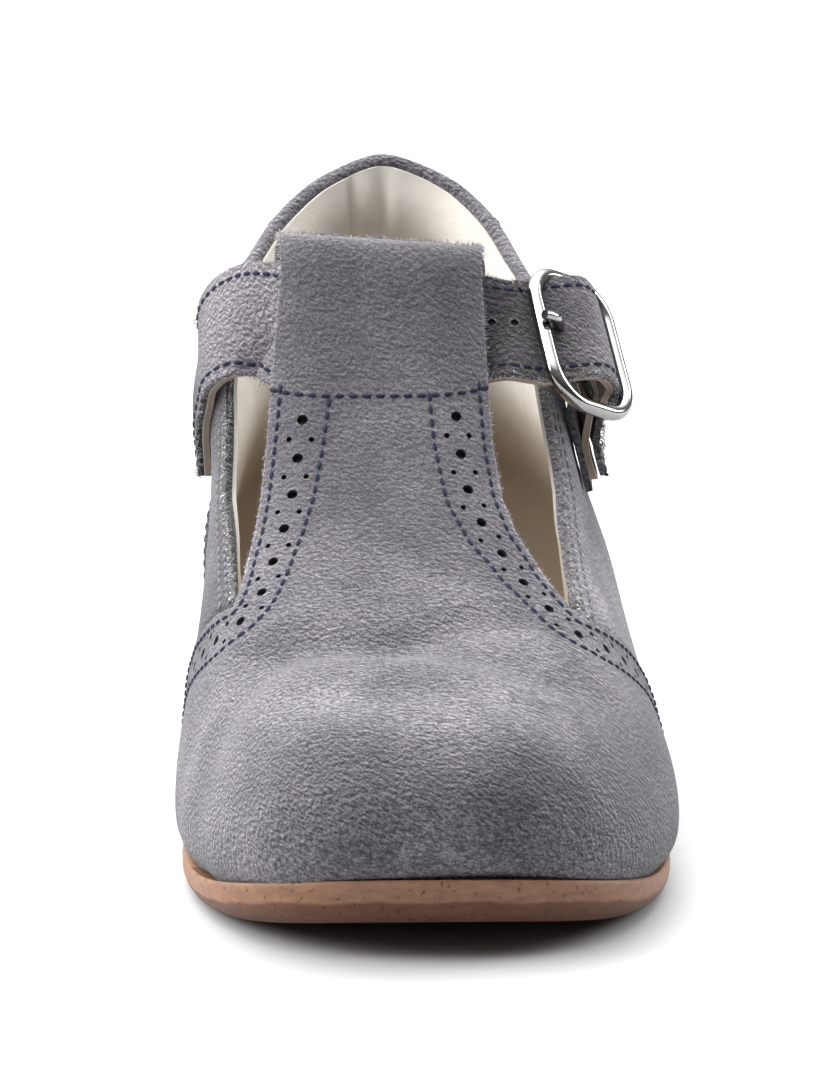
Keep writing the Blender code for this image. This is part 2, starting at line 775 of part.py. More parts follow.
def in_buckle(points, across=0.0):
    middle, run, aside, out = buckle_axes()
    return np.array([middle + p.run * run + p.out * out + across * aside for p in points])


def strip(name, middles, normals, width, thick, count, look, collection):
    laid = smooth_path(np.hstack([middles, normals]), count)
    middles, normals = laid[:, :3], unit(laid[:, 3:])
    build = closed_loft(strip_sections(middles, normals, width, thick))
    return add_object(name, mesh_of(name, build), look, collection)


def profile_normals(points):
    """Outward directions of a run in the buckle's plane: across its path, away from the foot at first."""
    _, run, _, out = buckle_axes()
    path = np.array([(p.run, p.out) for p in points], float)
    slope = unit(np.gradient(path, axis=0))
    return np.array([-s[1] * run + s[0] * out for s in slope])


def make_strap(look, collection, cutters):
    sewn, sewn_out = on_side(-1, STRAP_SEWN)
    loop, loop_out = in_loop(STRAP_IN_LOOP)
    end, end_out = on_side(1, STRAP_END)
    arch = np.array(STRAP_ARCH, float)
    arch_out = between(sewn_out[-1], loop_out[0], len(arch))
    buckle = in_buckle(STRAP_IN_BUCKLE)
    buckle_out = profile_normals(STRAP_IN_BUCKLE)
    middles = np.vstack([sewn, arch, loop, buckle, end])
    normals = np.vstack([sewn_out, arch_out, loop_out, buckle_out, end_out])
    strap = strip("strap", middles, normals, STRAP_WIDTH, STRAP_THICK, 90, look, collection)
    hole_path = smooth_path(in_buckle(PRONG_PATH[3:6]), 9)
    build = closed_loft(wire_sections(hole_path, PRONG_WIRE + 0.45))
    hole = add_object("prong_hole", mesh_of("prong_hole", build), None, cutters)
    join_or_cut(strap, hole, "DIFFERENCE")
    return strap


def make_buckle_tab(look, collection, cutters):
    foot, foot_out = on_side(1, CHAPE_FOOT)
    top = in_buckle(CHAPE_IN_BUCKLE)
    top_out = -profile_normals(CHAPE_IN_BUCKLE)
    middles = np.vstack([foot, top])
    normals = np.vstack([foot_out, top_out])
    tab = strip("buckle_tab", middles, normals, CHAPE_WIDTH, CHAPE_THICK, 57, look, collection)
    middle, run, aside, out = buckle_axes()
    corners = ((-1, -1), (1, -1), (1, 1), (-1, 1))
    sections = [
        [middle + r * run + i * CHAPE_SLOT / 2 * aside + (j * 4.0 - 1.0) * out for i, j in corners]
        for r in (-4.0, 2.4)
    ]
    slot = add_object("prong_slot", mesh_of("prong_slot", closed_loft(sections)), None, cutters)
    join_or_cut(tab, slot, "DIFFERENCE")
    return tab


def make_buckle_frame(look, collection, cutters):
    middle, run, aside, out = buckle_axes()
    middle = middle + FRAME_SHIFT * aside
    loop = []
    for k in range(4):
        heading = math.pi / 2 * k
        corner_r = (FRAME_HALF_LENGTH - FRAME_CORNER) * (1 if k in (0, 3) else -1)
        corner_a = (FRAME_HALF_WIDTH - FRAME_CORNER) * (1 if k in (0, 1) else -1)
        for q in np.linspace(heading, heading + math.pi / 2, 8):
            loop.append(
                middle
                + (corner_r + FRAME_CORNER * math.cos(q)) * run
                + (corner_a + FRAME_CORNER * math.sin(q)) * aside
            )
    sections = wire_sections(np.array(loop), FRAME_WIRE, 12, closed=True)
    build = bmesh.new()
    rows = [[build.verts.new(place) for place in world(section)] for section in sections]
    for low, high in zip(rows, rows[1:] + rows[:1]):
        for k in range(12):
            after = (k + 1) % 12
            build.faces.new((low[k], low[after], high[after], high[k]))
    bmesh.ops.recalc_face_normals(build, faces=build.faces)
    frame = add_object("buckle_frame", mesh_of("buckle_frame", build), look, collection)
    drop = np.array([0.15, 1.0, 1.0, 1.0, 0.15]) * BAR_DROP
    reach = np.array([-1.0, -0.72, 0.0, 0.72, 1.0]) * (FRAME_HALF_WIDTH - 0.1)
    bar_path = smooth_path([middle + r * aside - d * out for r, d in zip(reach, drop)], 13)
    build = closed_loft(wire_sections(bar_path, BAR_WIRE))
    bar = add_object("centre_bar", mesh_of("centre_bar", build), None, cutters)
    join_or_cut(frame, bar, "UNION")
    return frame


def make_buckle_prong(look, collection):
    path = smooth_path(in_buckle(PRONG_PATH), 25)
    build = closed_loft(wire_sections(path, PRONG_WIRE))
    return add_object("buckle_prong", mesh_of("buckle_prong", build), look, collection)


def main():
    for old in list(bpy.data.objects):
        bpy.data.objects.remove(old)
    shoe = bpy.data.collections.new("baby_shoe")
    cutters = bpy.data.collections.new("cutters")
    for collection in (shoe, cutters):
        bpy.context.scene.collection.children.link(collection)
    cutters.hide_render = True

    suede = material("suede", (0.21, 0.20, 0.22), 0.95)
    suede_overlay = material("suede_overlay", (0.21, 0.20, 0.22), 0.95)
    suede_strap = material("suede_strap", (0.20, 0.19, 0.21), 0.95)
    sole_edge = material("sole_edge", (0.24, 0.12, 0.07), 0.55)
    heel_stack = material("heel_stack", (0.38, 0.24, 0.15), 0.6)
    sock = material("sock", (0.55, 0.44, 0.33), 0.8)
    silver = material("silver", (0.8, 0.8, 0.8), 0.25, 1.0)

    make_outsole(sole_edge, shoe)
    make_heel(heel_stack, shoe)
    make_insole(sock, shoe)
    make_upper(suede, shoe, cutters)
    make_counter(suede_overlay, shoe)
    make_back_tab(suede_overlay, shoe)
    make_strap(suede_strap, shoe, cutters)
    make_buckle_tab(suede_strap, shoe, cutters)
    make_buckle_frame(silver, shoe, cutters)
    make_buckle_prong(silver, shoe)
    for helper in cutters.objects:
        helper.hide_render = True
        helper.display_type = "WIRE"


main()
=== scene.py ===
# %% [markdown]
# # Left baby shoe in grey suede
# A small T-bar shoe: one sheet of suede runs from the toe up to a folded loop, a strap passes through
# the loop to a wire buckle, and a low sole carries it all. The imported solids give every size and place.
# Each step below dresses one of them with the sheets, threads and finishes of the real shoe.

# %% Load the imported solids
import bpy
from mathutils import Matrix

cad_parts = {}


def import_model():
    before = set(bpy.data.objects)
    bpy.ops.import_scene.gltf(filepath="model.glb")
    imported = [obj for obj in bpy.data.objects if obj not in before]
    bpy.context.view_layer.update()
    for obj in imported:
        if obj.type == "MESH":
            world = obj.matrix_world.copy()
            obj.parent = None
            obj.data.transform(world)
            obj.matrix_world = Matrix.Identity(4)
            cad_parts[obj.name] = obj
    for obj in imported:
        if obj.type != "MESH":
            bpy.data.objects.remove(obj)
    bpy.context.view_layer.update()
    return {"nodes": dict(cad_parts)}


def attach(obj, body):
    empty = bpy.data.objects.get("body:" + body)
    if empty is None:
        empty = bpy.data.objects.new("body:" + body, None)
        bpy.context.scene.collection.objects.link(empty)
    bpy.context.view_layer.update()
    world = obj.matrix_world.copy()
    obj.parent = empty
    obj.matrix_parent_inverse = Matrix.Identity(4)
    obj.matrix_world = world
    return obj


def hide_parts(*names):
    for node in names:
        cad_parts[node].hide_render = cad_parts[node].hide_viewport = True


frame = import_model()

import math
from collections import namedtuple

import bpy
import numpy as np
from mathutils import Vector
from mathutils.bvhtree import BVHTree

MM = 0.001
print("solids:", ", ".join(sorted(frame["nodes"])))

# %% [markdown]
# ## The last
# A shoemaker pulls the leather over a last, a solid foot shape. Here the last is a short table of level
# rings. A place on it needs two numbers: turn, round a ring (0 at the toe, 90 degrees at the outer side,
# 180 at the heel), and level, up the rings. Every sheet of the upper is laid on this one surface, so
# neighbouring pieces meet without any fitting.

# %% Sizes of the sole and the rings of the last
MIDDLE_X, MIDDLE_ALONG = 1.5, 68.5
SOLE_THICK_TOE, SOLE_THICK_HEEL = 3.8, 3.4
TOE_SPRING, TREAD_FRONT, TREAD_BACK = 6.2, 34.0, 56.0
HEEL_SEAT_START, HEEL_HEIGHT = 100.0, 7.6
WAIST_ALONG, WAIST_SPAN, WAIST_OUTER, WAIST_INNER, WAIST_FADE_LEVEL = 82.0, 22.0, 0.10, 0.16, 5.0
HEEL_SWING, HEEL_SWING_START, HEEL_SWING_END = -1.4, 92.0, 130.0
Ring = namedtuple(
    "Ring",
    "toe_along toe_rise side_along outer inner side_rise heel_along heel_rise ridge toe_full heel_full",
)
RING_TABLE = np.array((
    (3.2, 0.3, 41.0, 30.0, 27.2, 0.3, 131.5, 0.3, 0.6, 0.68, 0.78),
    (1.0, 3.0, 41.0, 31.8, 28.7, 3.2, 133.6, 4.0, 0.6, 0.68, 0.70),
    (0.0, 8.0, 43.0, 31.4, 28.7, 8.5, 135.0, 10.0, 0.4, 0.68, 0.62),
    (1.6, 13.6, 48.0, 29.2, 27.7, 14.5, 135.5, 17.0, 0.0, 0.68, 0.57),
    (6.6, 19.0, 54.0, 26.5, 26.3, 20.0, 135.2, 24.0, -0.5, 0.67, 0.67),
    (16.0, 23.6, 61.0, 23.9, 25.0, 25.2, 134.5, 31.0, -1.4, 0.66, 0.82),
    (29.0, 27.8, 69.0, 22.0, 24.3, 30.0, 133.4, 37.0, -2.4, 0.65, 0.92),
    (42.0, 32.6, 77.0, 20.6, 23.6, 35.0, 132.3, 43.0, -3.0, 0.62, 0.88),
    (53.0, 39.5, 84.0, 19.5, 22.9, 40.0, 131.3, 48.0, -3.2, 0.56, 0.80),
    (61.0, 47.0, 89.0, 18.6, 22.2, 44.5, 130.6, 52.0, -3.2, 0.52, 0.76),
    (66.5, 54.8, 92.0, 17.9, 21.6, 48.5, 130.3, 55.5, -3.2, 0.49, 0.75),
    (71.2, 64.6, 95.0, 17.4, 20.8, 53.0, 130.1, 59.5, -3.2, 0.48, 0.75),
    (74.8, 73.2, 97.5, 17.0, 20.3, 57.0, 130.0, 63.0, -3.2, 0.48, 0.75),
))
TOP_LEVEL = len(RING_TABLE) - 1.0
LEVELS = np.linspace(0.0, TOP_LEVEL, 481)


def smooth_step(value, low, high):
    part = np.clip((np.asarray(value, float) - low) / (high - low), 0.0, 1.0)
    return part * part * (3.0 - 2.0 * part)


def unit(vectors):
    return vectors / np.linalg.norm(vectors, axis=-1, keepdims=True)


def table(fields, *rows):
    """A short table of numbers with named columns."""
    row = namedtuple("Row", fields)
    return [row(*numbers) for numbers in rows]


def column(rows, name):
    return np.array([getattr(row, name) for row in rows], float)


def read_off(rows, known, value, wanted):
    """What the wanted column says where the known column has a value."""
    return np.interp(value, column(rows, known), column(rows, wanted))


def row_at(path, share):
    """The rows of a path at shares from 0 to 1 of the way along it."""
    marks = np.linspace(0, 1, len(path))
    return np.column_stack([np.interp(share, marks, path[:, k]) for k in range(path.shape[1])])


def bell(value, middle, reach):
    """1 at the middle, falling away smoothly on both sides."""
    return np.exp(-(((value - middle) / reach) ** 2))


def world(points):
    """Millimetres on the shoe (x, along, z) to metres in the shared frame."""
    return (np.asarray(points, float) - [MIDDLE_X, MIDDLE_ALONG, 0.0]) * MM


print("the last has", len(RING_TABLE), "rings")

# %% The surface of the last
def sole_under(along):
    spring = TOE_SPRING * np.clip((TREAD_FRONT - along) / TREAD_FRONT, 0.0, None) ** 2
    return spring + HEEL_HEIGHT * smooth_step(along, TREAD_BACK, HEEL_SEAT_START)


def sole_over(along):
    thin = smooth_step(along, TREAD_BACK, HEEL_SEAT_START)
    return sole_under(along) + SOLE_THICK_TOE + (SOLE_THICK_HEEL - SOLE_THICK_TOE) * thin


def ring_at(level):
    level = np.clip(np.asarray(level, float), 0.0, TOP_LEVEL)
    start = np.minimum(level.astype(int), len(RING_TABLE) - 2)
    part = (level - start)[..., None]
    below = 2 * RING_TABLE[0] - RING_TABLE[1]
    above = 2 * RING_TABLE[-1] - RING_TABLE[-2]
    padded = np.vstack([below, RING_TABLE, above])
    p0, p1, p2, p3 = (padded[start + k] for k in range(4))
    bend = 2 * p0 - 5 * p1 + 4 * p2 - p3
    row = p1 + 0.5 * part * (p2 - p0 + part * (bend + part * (3 * (p1 - p2) + p3 - p0)))
    return Ring(*np.moveaxis(row, -1, 0))


def heel_swing(along):
    return HEEL_SWING * smooth_step(along, HEEL_SWING_START, HEEL_SWING_END)


def last_point(turn, level):
    turn, level = np.broadcast_arrays(np.asarray(turn, float), np.asarray(level, float))
    ring = ring_at(level)
    ahead, aside = np.cos(turn), np.sin(turn)
    front = ahead >= 0
    reach = np.where(front, ring.side_along - ring.toe_along, ring.heel_along - ring.side_along)
    along = ring.side_along - reach * ahead
    end_rise = np.where(front, ring.toe_rise, ring.heel_rise)
    nearness = np.where(front, 1 - aside**4, ahead**2)
    rise = ring.side_rise + (end_rise - ring.side_rise) * nearness
    mean = (ring.outer + ring.inner) / 2
    lean = (ring.outer - ring.inner) / 2 * np.where(front, 1.0, aside**2)
    half = mean + np.sign(aside) * lean
    spread = np.abs(aside) ** np.where(front, ring.toe_full, ring.heel_full)
    waist = np.where(aside > 0, WAIST_OUTER, WAIST_INNER) * np.clip(1 - level / WAIST_FADE_LEVEL, 0, 1)
    pinch = 1 - waist * np.exp(-(((along - WAIST_ALONG) / WAIST_SPAN) ** 2))
    x = ring.ridge * np.clip(ahead, 0, None) ** 2 + np.sign(aside) * half * spread * pinch
    return np.stack([x + heel_swing(along), along, sole_over(along) + rise], axis=-1)


def last_normal(turn, level):
    step = 1e-3
    round_ring = last_point(turn + step, level) - last_point(turn - step, level)
    up_wall = last_point(turn, level + step) - last_point(turn, level - step)
    return unit(np.cross(round_ring, up_wall))


def off_last(turn, level, lift):
    return last_point(turn, level) + np.asarray(lift, float)[..., None] * last_normal(turn, level)


print("toe tip at", np.round(last_point(0.0, 2.0), 1), "mm, heel at", np.round(last_point(math.pi, 3.0), 1))

# %% [markdown]
# ## Edges of the upper
# The pattern's edges are short tables read off the front and side of the shoe: the two sides of the
# T-bar, the front edges of the quarters and the collar line. A halving search finds the turn where each
# level ring crosses an edge. Where a T-bar edge and a quarter edge cross is the notch at the foot of the
# side opening, and the seam between vamp and quarter runs from there down to the sole.

# %% Where each edge crosses the rings
BAR_EDGES = table(
    "z outer inner",
    (24.0, 26.4, -27.6), (28.0, 22.8, -24.0), (31.0, 19.8, -22.2), (35.0, 15.8, -20.4), (39.0, 12.7, -19.0),
    (42.5, 11.1, -18.2), (48.0, 10.1, -17.4), (53.5, 9.7, -16.8), (71.0, 8.8, -15.0), (80.0, 8.7, -14.9),
)
QUARTER_EDGES = table(
    "z outer inner",
    (24.0, 30.5, 30.0), (31.0, 44.0, 40.0), (33.5, 51.0, 47.0), (36.5, 58.5, 55.0), (41.0, 66.5, 65.5),
    (43.5, 69.5, 68.5), (47.5, 73.0, 72.2), (51.0, 75.5, 75.0), (55.5, 78.5, 78.0), (60.0, 80.5, 80.0),
    (70.0, 83.0, 82.5),
)
VAMP_SEAM = table(
    "drop back",
    (-20, 0), (0, 0), (3, 4.4), (6, 9.0), (10, 14.0), (16, 19.0), (30, 25.0),
)
SIDES = {1: "outer", -1: "inner"}


def turn_where(level, side, wanted, low=0.02, high=math.pi - 0.02):
    """The turn on one side of each ring where wanted(point) stops being negative."""
    low, high = np.full_like(level, low), np.full_like(level, high)
    for _ in range(40):
        middle = (low + high) / 2
        before = wanted(last_point(side * middle, level)) < 0
        low, high = np.where(before, middle, low), np.where(before, high, middle)
    return (low + high) / 2


def bar_turns(side):
    def beyond(p):
        return side * (p[..., 0] - read_off(BAR_EDGES, "z", p[..., 2], SIDES[side]))

    return turn_where(LEVELS, side, beyond, high=math.radians(100))


def edge_turns(rows, side, name):
    """The turns where an edge, given as places along by height, crosses the rings."""
    return turn_where(LEVELS, side, lambda p: p[..., 1] - read_off(rows, "z", p[..., 2], name))


BAR_TURNS = {side: bar_turns(side) for side in SIDES}
QUARTER_TURNS = {side: edge_turns(QUARTER_EDGES, side, SIDES[side]) for side in SIDES}
NOTCH = {}
for side in SIDES:
    first_open = np.nonzero(QUARTER_TURNS[side] < BAR_TURNS[side])[0].max() + 1
    NOTCH[side] = LEVELS[first_open], BAR_TURNS[side][first_open]


def notch_point(side):
    level, turn = NOTCH[side]
    return last_point(side * turn, level)


print("notches at", [np.round(notch_point(side), 1).tolist() for side in SIDES], "mm")

# %% The seam from each notch down to the sole
UNDERLAP, UNDERLAP_FADE = 4.0, 4.0


def seam_along(side, z):
    corner = notch_point(side)
    return corner[1] + read_off(VAMP_SEAM, "drop", corner[2] - z, "back")


def behind_seam(side, underlap):
    """Turns of a line that runs ahead of the seam by underlap, a little way below the notch."""

    def past(p):
        reach = underlap * smooth_step(notch_point(side)[2] - p[..., 2], 0.0, UNDERLAP_FADE)
        return p[..., 1] - (seam_along(side, p[..., 2]) - reach)

    return turn_where(LEVELS, side, past)


def both_edges(turns, level):
    """The turns of an outer and an inner edge at a level."""
    return [np.interp(level, LEVELS, turns[side]) for side in SIDES]


def round_heel(turns, across, level):
    """The turn at a share of the way round the heel, from the outer edge to the inner one."""
    outer, inner = both_edges(turns, level)
    return outer + across * (2 * math.pi - outer - inner)


VAMP_TURNS, REAR_TURNS = {}, {}
for side in SIDES:
    below = LEVELS < NOTCH[side][0]
    VAMP_TURNS[side] = np.where(below, behind_seam(side, 0.0), BAR_TURNS[side])
    REAR_TURNS[side] = np.where(below, behind_seam(side, UNDERLAP), QUARTER_TURNS[side])
print("the seam meets the sole", np.round(seam_along(1, 6.0), 1), "mm from the toe")

# %% [markdown]
# ## Tools of the workshop
# Three jobs come back all the time: laying a flat sheet on the last, applying a modifier, and handing a
# finished piece to the frame. A sheet starts as Blender's grid, cut square like real leather, and then
# every corner moves to its place on the last. The grid keeps its UV map, so a pattern can follow it.

# %% Laying sheets and finishing pieces
def select_only(piece):
    bpy.ops.object.select_all(action="DESELECT")
    piece.select_set(True)
    bpy.context.view_layer.objects.active = piece


def lay_sheet(name, columns, rows, place):
    """A grid whose corners go to place(across, up), both from 0 to 1."""
    bpy.ops.object.select_all(action="DESELECT")
    bpy.ops.mesh.primitive_grid_add(x_subdivisions=columns, y_subdivisions=rows, size=2.0)
    sheet = bpy.context.object
    sheet.name = sheet.data.name = name
    flat = np.empty(len(sheet.data.vertices) * 3)
    sheet.data.vertices.foreach_get("co", flat)
    share = (flat.reshape(-1, 3) + 1) / 2
    sheet.data.vertices.foreach_set("co", world(place(share[:, 0], share[:, 1])).ravel())
    sheet.data.update()
    return sheet


def finish_with(piece, kind, **settings):
    select_only(piece)
    change = piece.modifiers.new(kind.lower(), kind)
    for name, value in settings.items():
        setattr(change, name, value)
    bpy.ops.object.modifier_apply(modifier=change.name)


def give_thickness(piece, thick, offset=-1.0, **settings):
    finish_with(piece, "SOLIDIFY", thickness=thick * MM, offset=offset, use_quality_normals=True, **settings)


def close_seams(piece, gap=0.01):
    """Merges the corners that meet, and turns all faces outwards."""
    select_only(piece)
    bpy.ops.object.mode_set(mode="EDIT")
    bpy.ops.mesh.select_all(action="SELECT")
    bpy.ops.mesh.remove_doubles(threshold=gap * MM)
    bpy.ops.mesh.normals_make_consistent(inside=False)
    bpy.ops.object.mode_set(mode="OBJECT")


def store_tone(piece, tone, mark="painted_light"):
    """Stores tone(across, up) in an attribute named by mark, such as the suede's painted light and shade."""
    corners, loops = len(piece.data.vertices), len(piece.data.loops)
    grid_uv, corner_of = np.empty(loops * 2), np.empty(loops, int)
    piece.data.uv_layers[0].data.foreach_get("uv", grid_uv)
    piece.data.loops.foreach_get("vertex_index", corner_of)
    across_up = np.zeros((corners, 2))
    across_up[corner_of] = grid_uv.reshape(-1, 2)
    tones = tone(across_up[:, 0], across_up[:, 1])
    piece.data.attributes.new(mark, "FLOAT", "POINT").data.foreach_set("value", tones)
    print(piece.name, "brushed from", round(tones.min(), 2), "to", round(tones.max(), 2))


def hand_over(piece, look, slot, *nodes):
    """Gives a piece its finish and its place in the frame."""
    if look is not None:
        piece.data.materials.clear()
        piece.data.materials.append(look)
    select_only(piece)
    bpy.ops.object.shade_smooth_by_angle(angle=math.radians(50))
    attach(piece, "root")
    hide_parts(*nodes)
    print(piece.name, len(piece.data.polygons), "faces")


print("tools ready")

# %% [markdown]
# ## Finishes
# Suede is the brushed flesh side of leather: it scatters light softly, its nap lies in lighter and darker
# patches a centimetre wide, and close up it is a fine grain of short leaning fibres. Noise at those two
# scales gives the colour. The fine one is read twice, a fifth of a millimetre apart, and the difference
# is painted shade and highlight: the side of a fibre that leans away from the light is painted dark. A
# stored attribute holds painted light and shade, lighter where a part faces the light and darker where it
# lies in shade. The sheen of the fibres is set on the shader.

# %% Small helpers for node materials
SHEEN_ROUGHNESS = 0.45


def new_look(name, roughness, metallic=0.0, specular=0.5, sheen=0.0):
    look = bpy.data.materials.new(name)
    look.use_nodes = True
    shader = look.node_tree.nodes["Principled BSDF"]
    levels = {"Roughness": roughness, "Metallic": metallic, "Specular IOR Level": specular}
    levels.update({"Sheen Weight": sheen, "Sheen Roughness": SHEEN_ROUGHNESS})
    for socket, level in levels.items():
        shader.inputs[socket].default_value = level
    return look, shader


def paint(look, shader, colour):
    look.node_tree.links.new(colour, shader.inputs["Base Color"])


def add_node(look, kind, links=(), **settings):
    """A node with some of its sockets set or linked, given by the name or number of each socket."""
    node = look.node_tree.nodes.new(kind)
    for name, value in settings.items():
        setattr(node, name, value)
    for socket, value in dict(links).items():
        if isinstance(value, bpy.types.NodeSocket):
            look.node_tree.links.new(value, node.inputs[socket])
        else:
            node.inputs[socket].default_value = value
    return node


def place_on(look, kind="Object", stretch=None, shift=(0.0, 0.0, 0.0), tilt=0.0):
    spot = add_node(look, "ShaderNodeTexCoord").outputs[kind]
    if stretch is None:
        return spot
    if tilt:
        turned = {"Vector": spot, "Axis": (0.0, 1.0, 0.0), "Angle": tilt}
        spot = add_node(look, "ShaderNodeVectorRotate", turned).outputs[0]
    moved = {"Vector": spot, "Scale": stretch, "Location": [s * MM for s in shift]}
    return add_node(look, "ShaderNodeMapping", moved).outputs[0]


def speckle(look, scale, detail=2.0, rough=0.5, **placing):
    spot = place_on(look, **placing)
    links = {"Vector": spot, "Scale": scale, "Detail": detail, "Roughness": rough}
    return add_node(look, "ShaderNodeTexNoise", links).outputs[0]


def sums(look, kind, *values):
    return add_node(look, "ShaderNodeMath", dict(enumerate(values)), operation=kind).outputs[0]


def ramp(look, share, *stops):
    node = add_node(look, "ShaderNodeValToRGB", {0: share})
    bar = node.color_ramp.elements
    while len(bar) < len(stops):
        bar.new(0.5)
    for mark, (place, colour) in zip(bar, stops):
        mark.position = place
        mark.color = (*colour, 1.0)
    return node.outputs[0]


def mixed(look, share, first, second, mode="MIX"):
    links = {0: share, 6: first, 7: second}
    return add_node(look, "ShaderNodeMix", links, data_type="RGBA", blend_type=mode).outputs[2]


def fade(look, axis, start, end):
    """A smooth share from 0 to 1 between two places along an axis of the part, in metres."""
    spot = add_node(look, "ShaderNodeSeparateXYZ", {0: place_on(look)}).outputs[axis]
    links = {"Value": spot, "From Min": start, "From Max": end}
    return add_node(look, "ShaderNodeMapRange", links, interpolation_type="SMOOTHSTEP").outputs[0]


def bump(look, shader, height, strength, depth):
    links = {"Height": height, "Strength": strength, "Distance": depth * MM}
    node = add_node(look, "ShaderNodeBump", links)
    look.node_tree.links.new(node.outputs[0], shader.inputs["Normal"])


print("node helpers ready")

# %% Suede
NAP_SCALE, FIBRE_SCALE, FUZZ_SCALE = 95.0, 2000.0, 3400.0
FIBRE_TILT, FIBRE_STRETCH, FIBRE_LIGHT_SHIFT, FIBRE_CONTRAST = -0.5, (0.62, 1.0, 1.12), (-0.06, 0.12, 0.14), 2.7
GRAIN_SHADE_TONES = (0.12, (0.44, 0.44, 0.46)), (0.50, (0.96, 0.96, 0.97)), (0.88, (1.66, 1.65, 1.62))
FUZZ_TONES = (0.30, (0.62, 0.62, 0.64)), (0.70, (1.44, 1.44, 1.42))


def suede(name, dark, light):
    look, shader = new_look(name, 0.95, specular=0.15, sheen=0.12)
    patches = ramp(look, speckle(look, NAP_SCALE, 4.0, 0.6), (0.32, dark), (0.70, light))
    # Two readings of the fine noise, the second shifted towards the light: their difference is painted shade
    # and highlight on each fibre.
    fibre, lee = (
        speckle(look, FIBRE_SCALE, 3.0, 0.65, stretch=FIBRE_STRETCH, shift=shift, tilt=FIBRE_TILT)
        for shift in ((0.0, 0.0, 0.0), FIBRE_LIGHT_SHIFT)
    )
    slope = sums(look, "MULTIPLY_ADD", sums(look, "SUBTRACT", fibre, lee), FIBRE_CONTRAST, 0.5)
    grain_and_shade = ramp(look, slope, *GRAIN_SHADE_TONES)
    fuzz = ramp(look, speckle(look, FUZZ_SCALE, 2.0, 0.6), *FUZZ_TONES)
    # The stored attribute lightens or darkens the nap patches: painted light and shade.
    painted_light, flat = (
        add_node(look, "ShaderNodeAttribute", attribute_name=mark).outputs["Fac"]
        for mark in ("painted_light", "flat")
    )
    lit_and_shaded = mixed(look, 1.0, patches, sums(look, "ADD", painted_light, 1.0), "MULTIPLY")
    raised = sums(look, "SUBTRACT", 1.0, flat)
    paint(look, shader, mixed(look, 1.0, mixed(look, raised, lit_and_shaded, grain_and_shade, "MULTIPLY"), fuzz, "MULTIPLY"))
    bump(look, shader, fibre, 0.6, 0.6)
    return look


grey_suede = suede("grey_suede", (0.077, 0.073, 0.083), (0.130, 0.124, 0.133))
strap_suede = suede("strap_suede", (0.073, 0.068, 0.075), (0.120, 0.112, 0.120))
print("suede mixed")

# %% Lining, thread and metal
CLOUD_SCALE, PORE_SCALE, TWIST_SCALE = 160.0, 2200.0, 2600.0
# The brown below is painted shade deep inside the shoe, faded in between two heights above the floor.
DEEP_SHADE_BROWN, LIT_HEIGHT, SHADE_HEIGHT = (0.27, 0.215, 0.155, 1.0), 0.047, 0.026


def soft_leather(name, dark, light, deep_shade=False):
    look, shader = new_look(name, 0.7)
    colour = ramp(look, speckle(look, CLOUD_SCALE, 4.0, 0.6), (0.3, dark), (0.7, light))
    # Painted shade: darker and browner low down in the shoe, where little light reaches.
    if deep_shade:
        colour = mixed(look, fade(look, 2, LIT_HEIGHT, SHADE_HEIGHT), colour, DEEP_SHADE_BROWN)
    paint(look, shader, colour)
    bump(look, shader, speckle(look, PORE_SCALE), 0.25, 0.2)
    return look


def thread(name, dark, light):
    look, shader = new_look(name, 0.75, specular=0.15)
    paint(look, shader, ramp(look, speckle(look, TWIST_SCALE), (0.3, dark), (0.7, light)))
    return look


ivory_lining = soft_leather("ivory_lining", (0.52, 0.487, 0.440), (0.62, 0.592, 0.545), deep_shade=True)
beige_sock = soft_leather("beige_sock", (0.42, 0.33, 0.24), (0.55, 0.45, 0.34))
pale_core = soft_leather("pale_core", (0.38, 0.34, 0.29), (0.50, 0.46, 0.40))
# The strap's lining is painted a darker brown than the ivory lining: painted shade on the strap's underside.
shaded_strap_lining = soft_leather("shaded_strap_lining", (0.20, 0.155, 0.115), (0.30, 0.24, 0.185))
# Near black: painted shade for the depth of the punched holes and the sheet behind them.
hole_shade_backing = soft_leather("hole_shade_backing", (0.018, 0.017, 0.020), (0.030, 0.028, 0.032))
blue_thread = thread("blue_thread", (0.006, 0.007, 0.016), (0.022, 0.025, 0.050))
grey_thread = thread("grey_thread", (0.090, 0.088, 0.091), (0.165, 0.162, 0.163))

silver, silver_shader = new_look("silver", 0.09, metallic=1.0)
tarnish = speckle(silver, 420.0, 3.0, 0.6)
paint(silver, silver_shader, ramp(silver, tarnish, (0.3, (0.25, 0.247, 0.24)), (0.7, (0.35, 0.347, 0.34))))
bump(silver, silver_shader, speckle(silver, 900.0), 0.06, 0.1)
print("finishes:", ", ".join(sorted(look.name for look in bpy.data.materials if look.users == 0)))

# %% [markdown]
# ## The vamp
# One sheet covers the toe, narrows to the T-bar and folds back over the strap as a loop. It is laid as a
# single grid: the lower rows follow the level rings, the upper rows follow the fold's profile. Wear has
# left a soft trough above the toe and a low ridge below it, so a few round-edged waves are added to the
# sheet before it gets its thickness.

# %% Creases of the vamp
VAMP_CREASES = table(
    "x along x_reach along_reach slant depth",
    (-9.0, 30.5, 13.0, 3.4, -0.18, -1.75), (5.0, 33.5, 9.0, 3.0, 0.35, -1.25),
    (-2.0, 22.0, 16.0, 4.2, -0.08, 0.80), (-20.0, 27.0, 7.0, 5.0, 0.35, -1.20),
    (15.0, 25.0, 8.0, 5.0, 0.25, -0.75), (7.0, 4.0, 11.0, 3.5, 0.0, -0.80),
    (-12.0, 8.0, 8.0, 4.0, 0.2, 0.50),
)


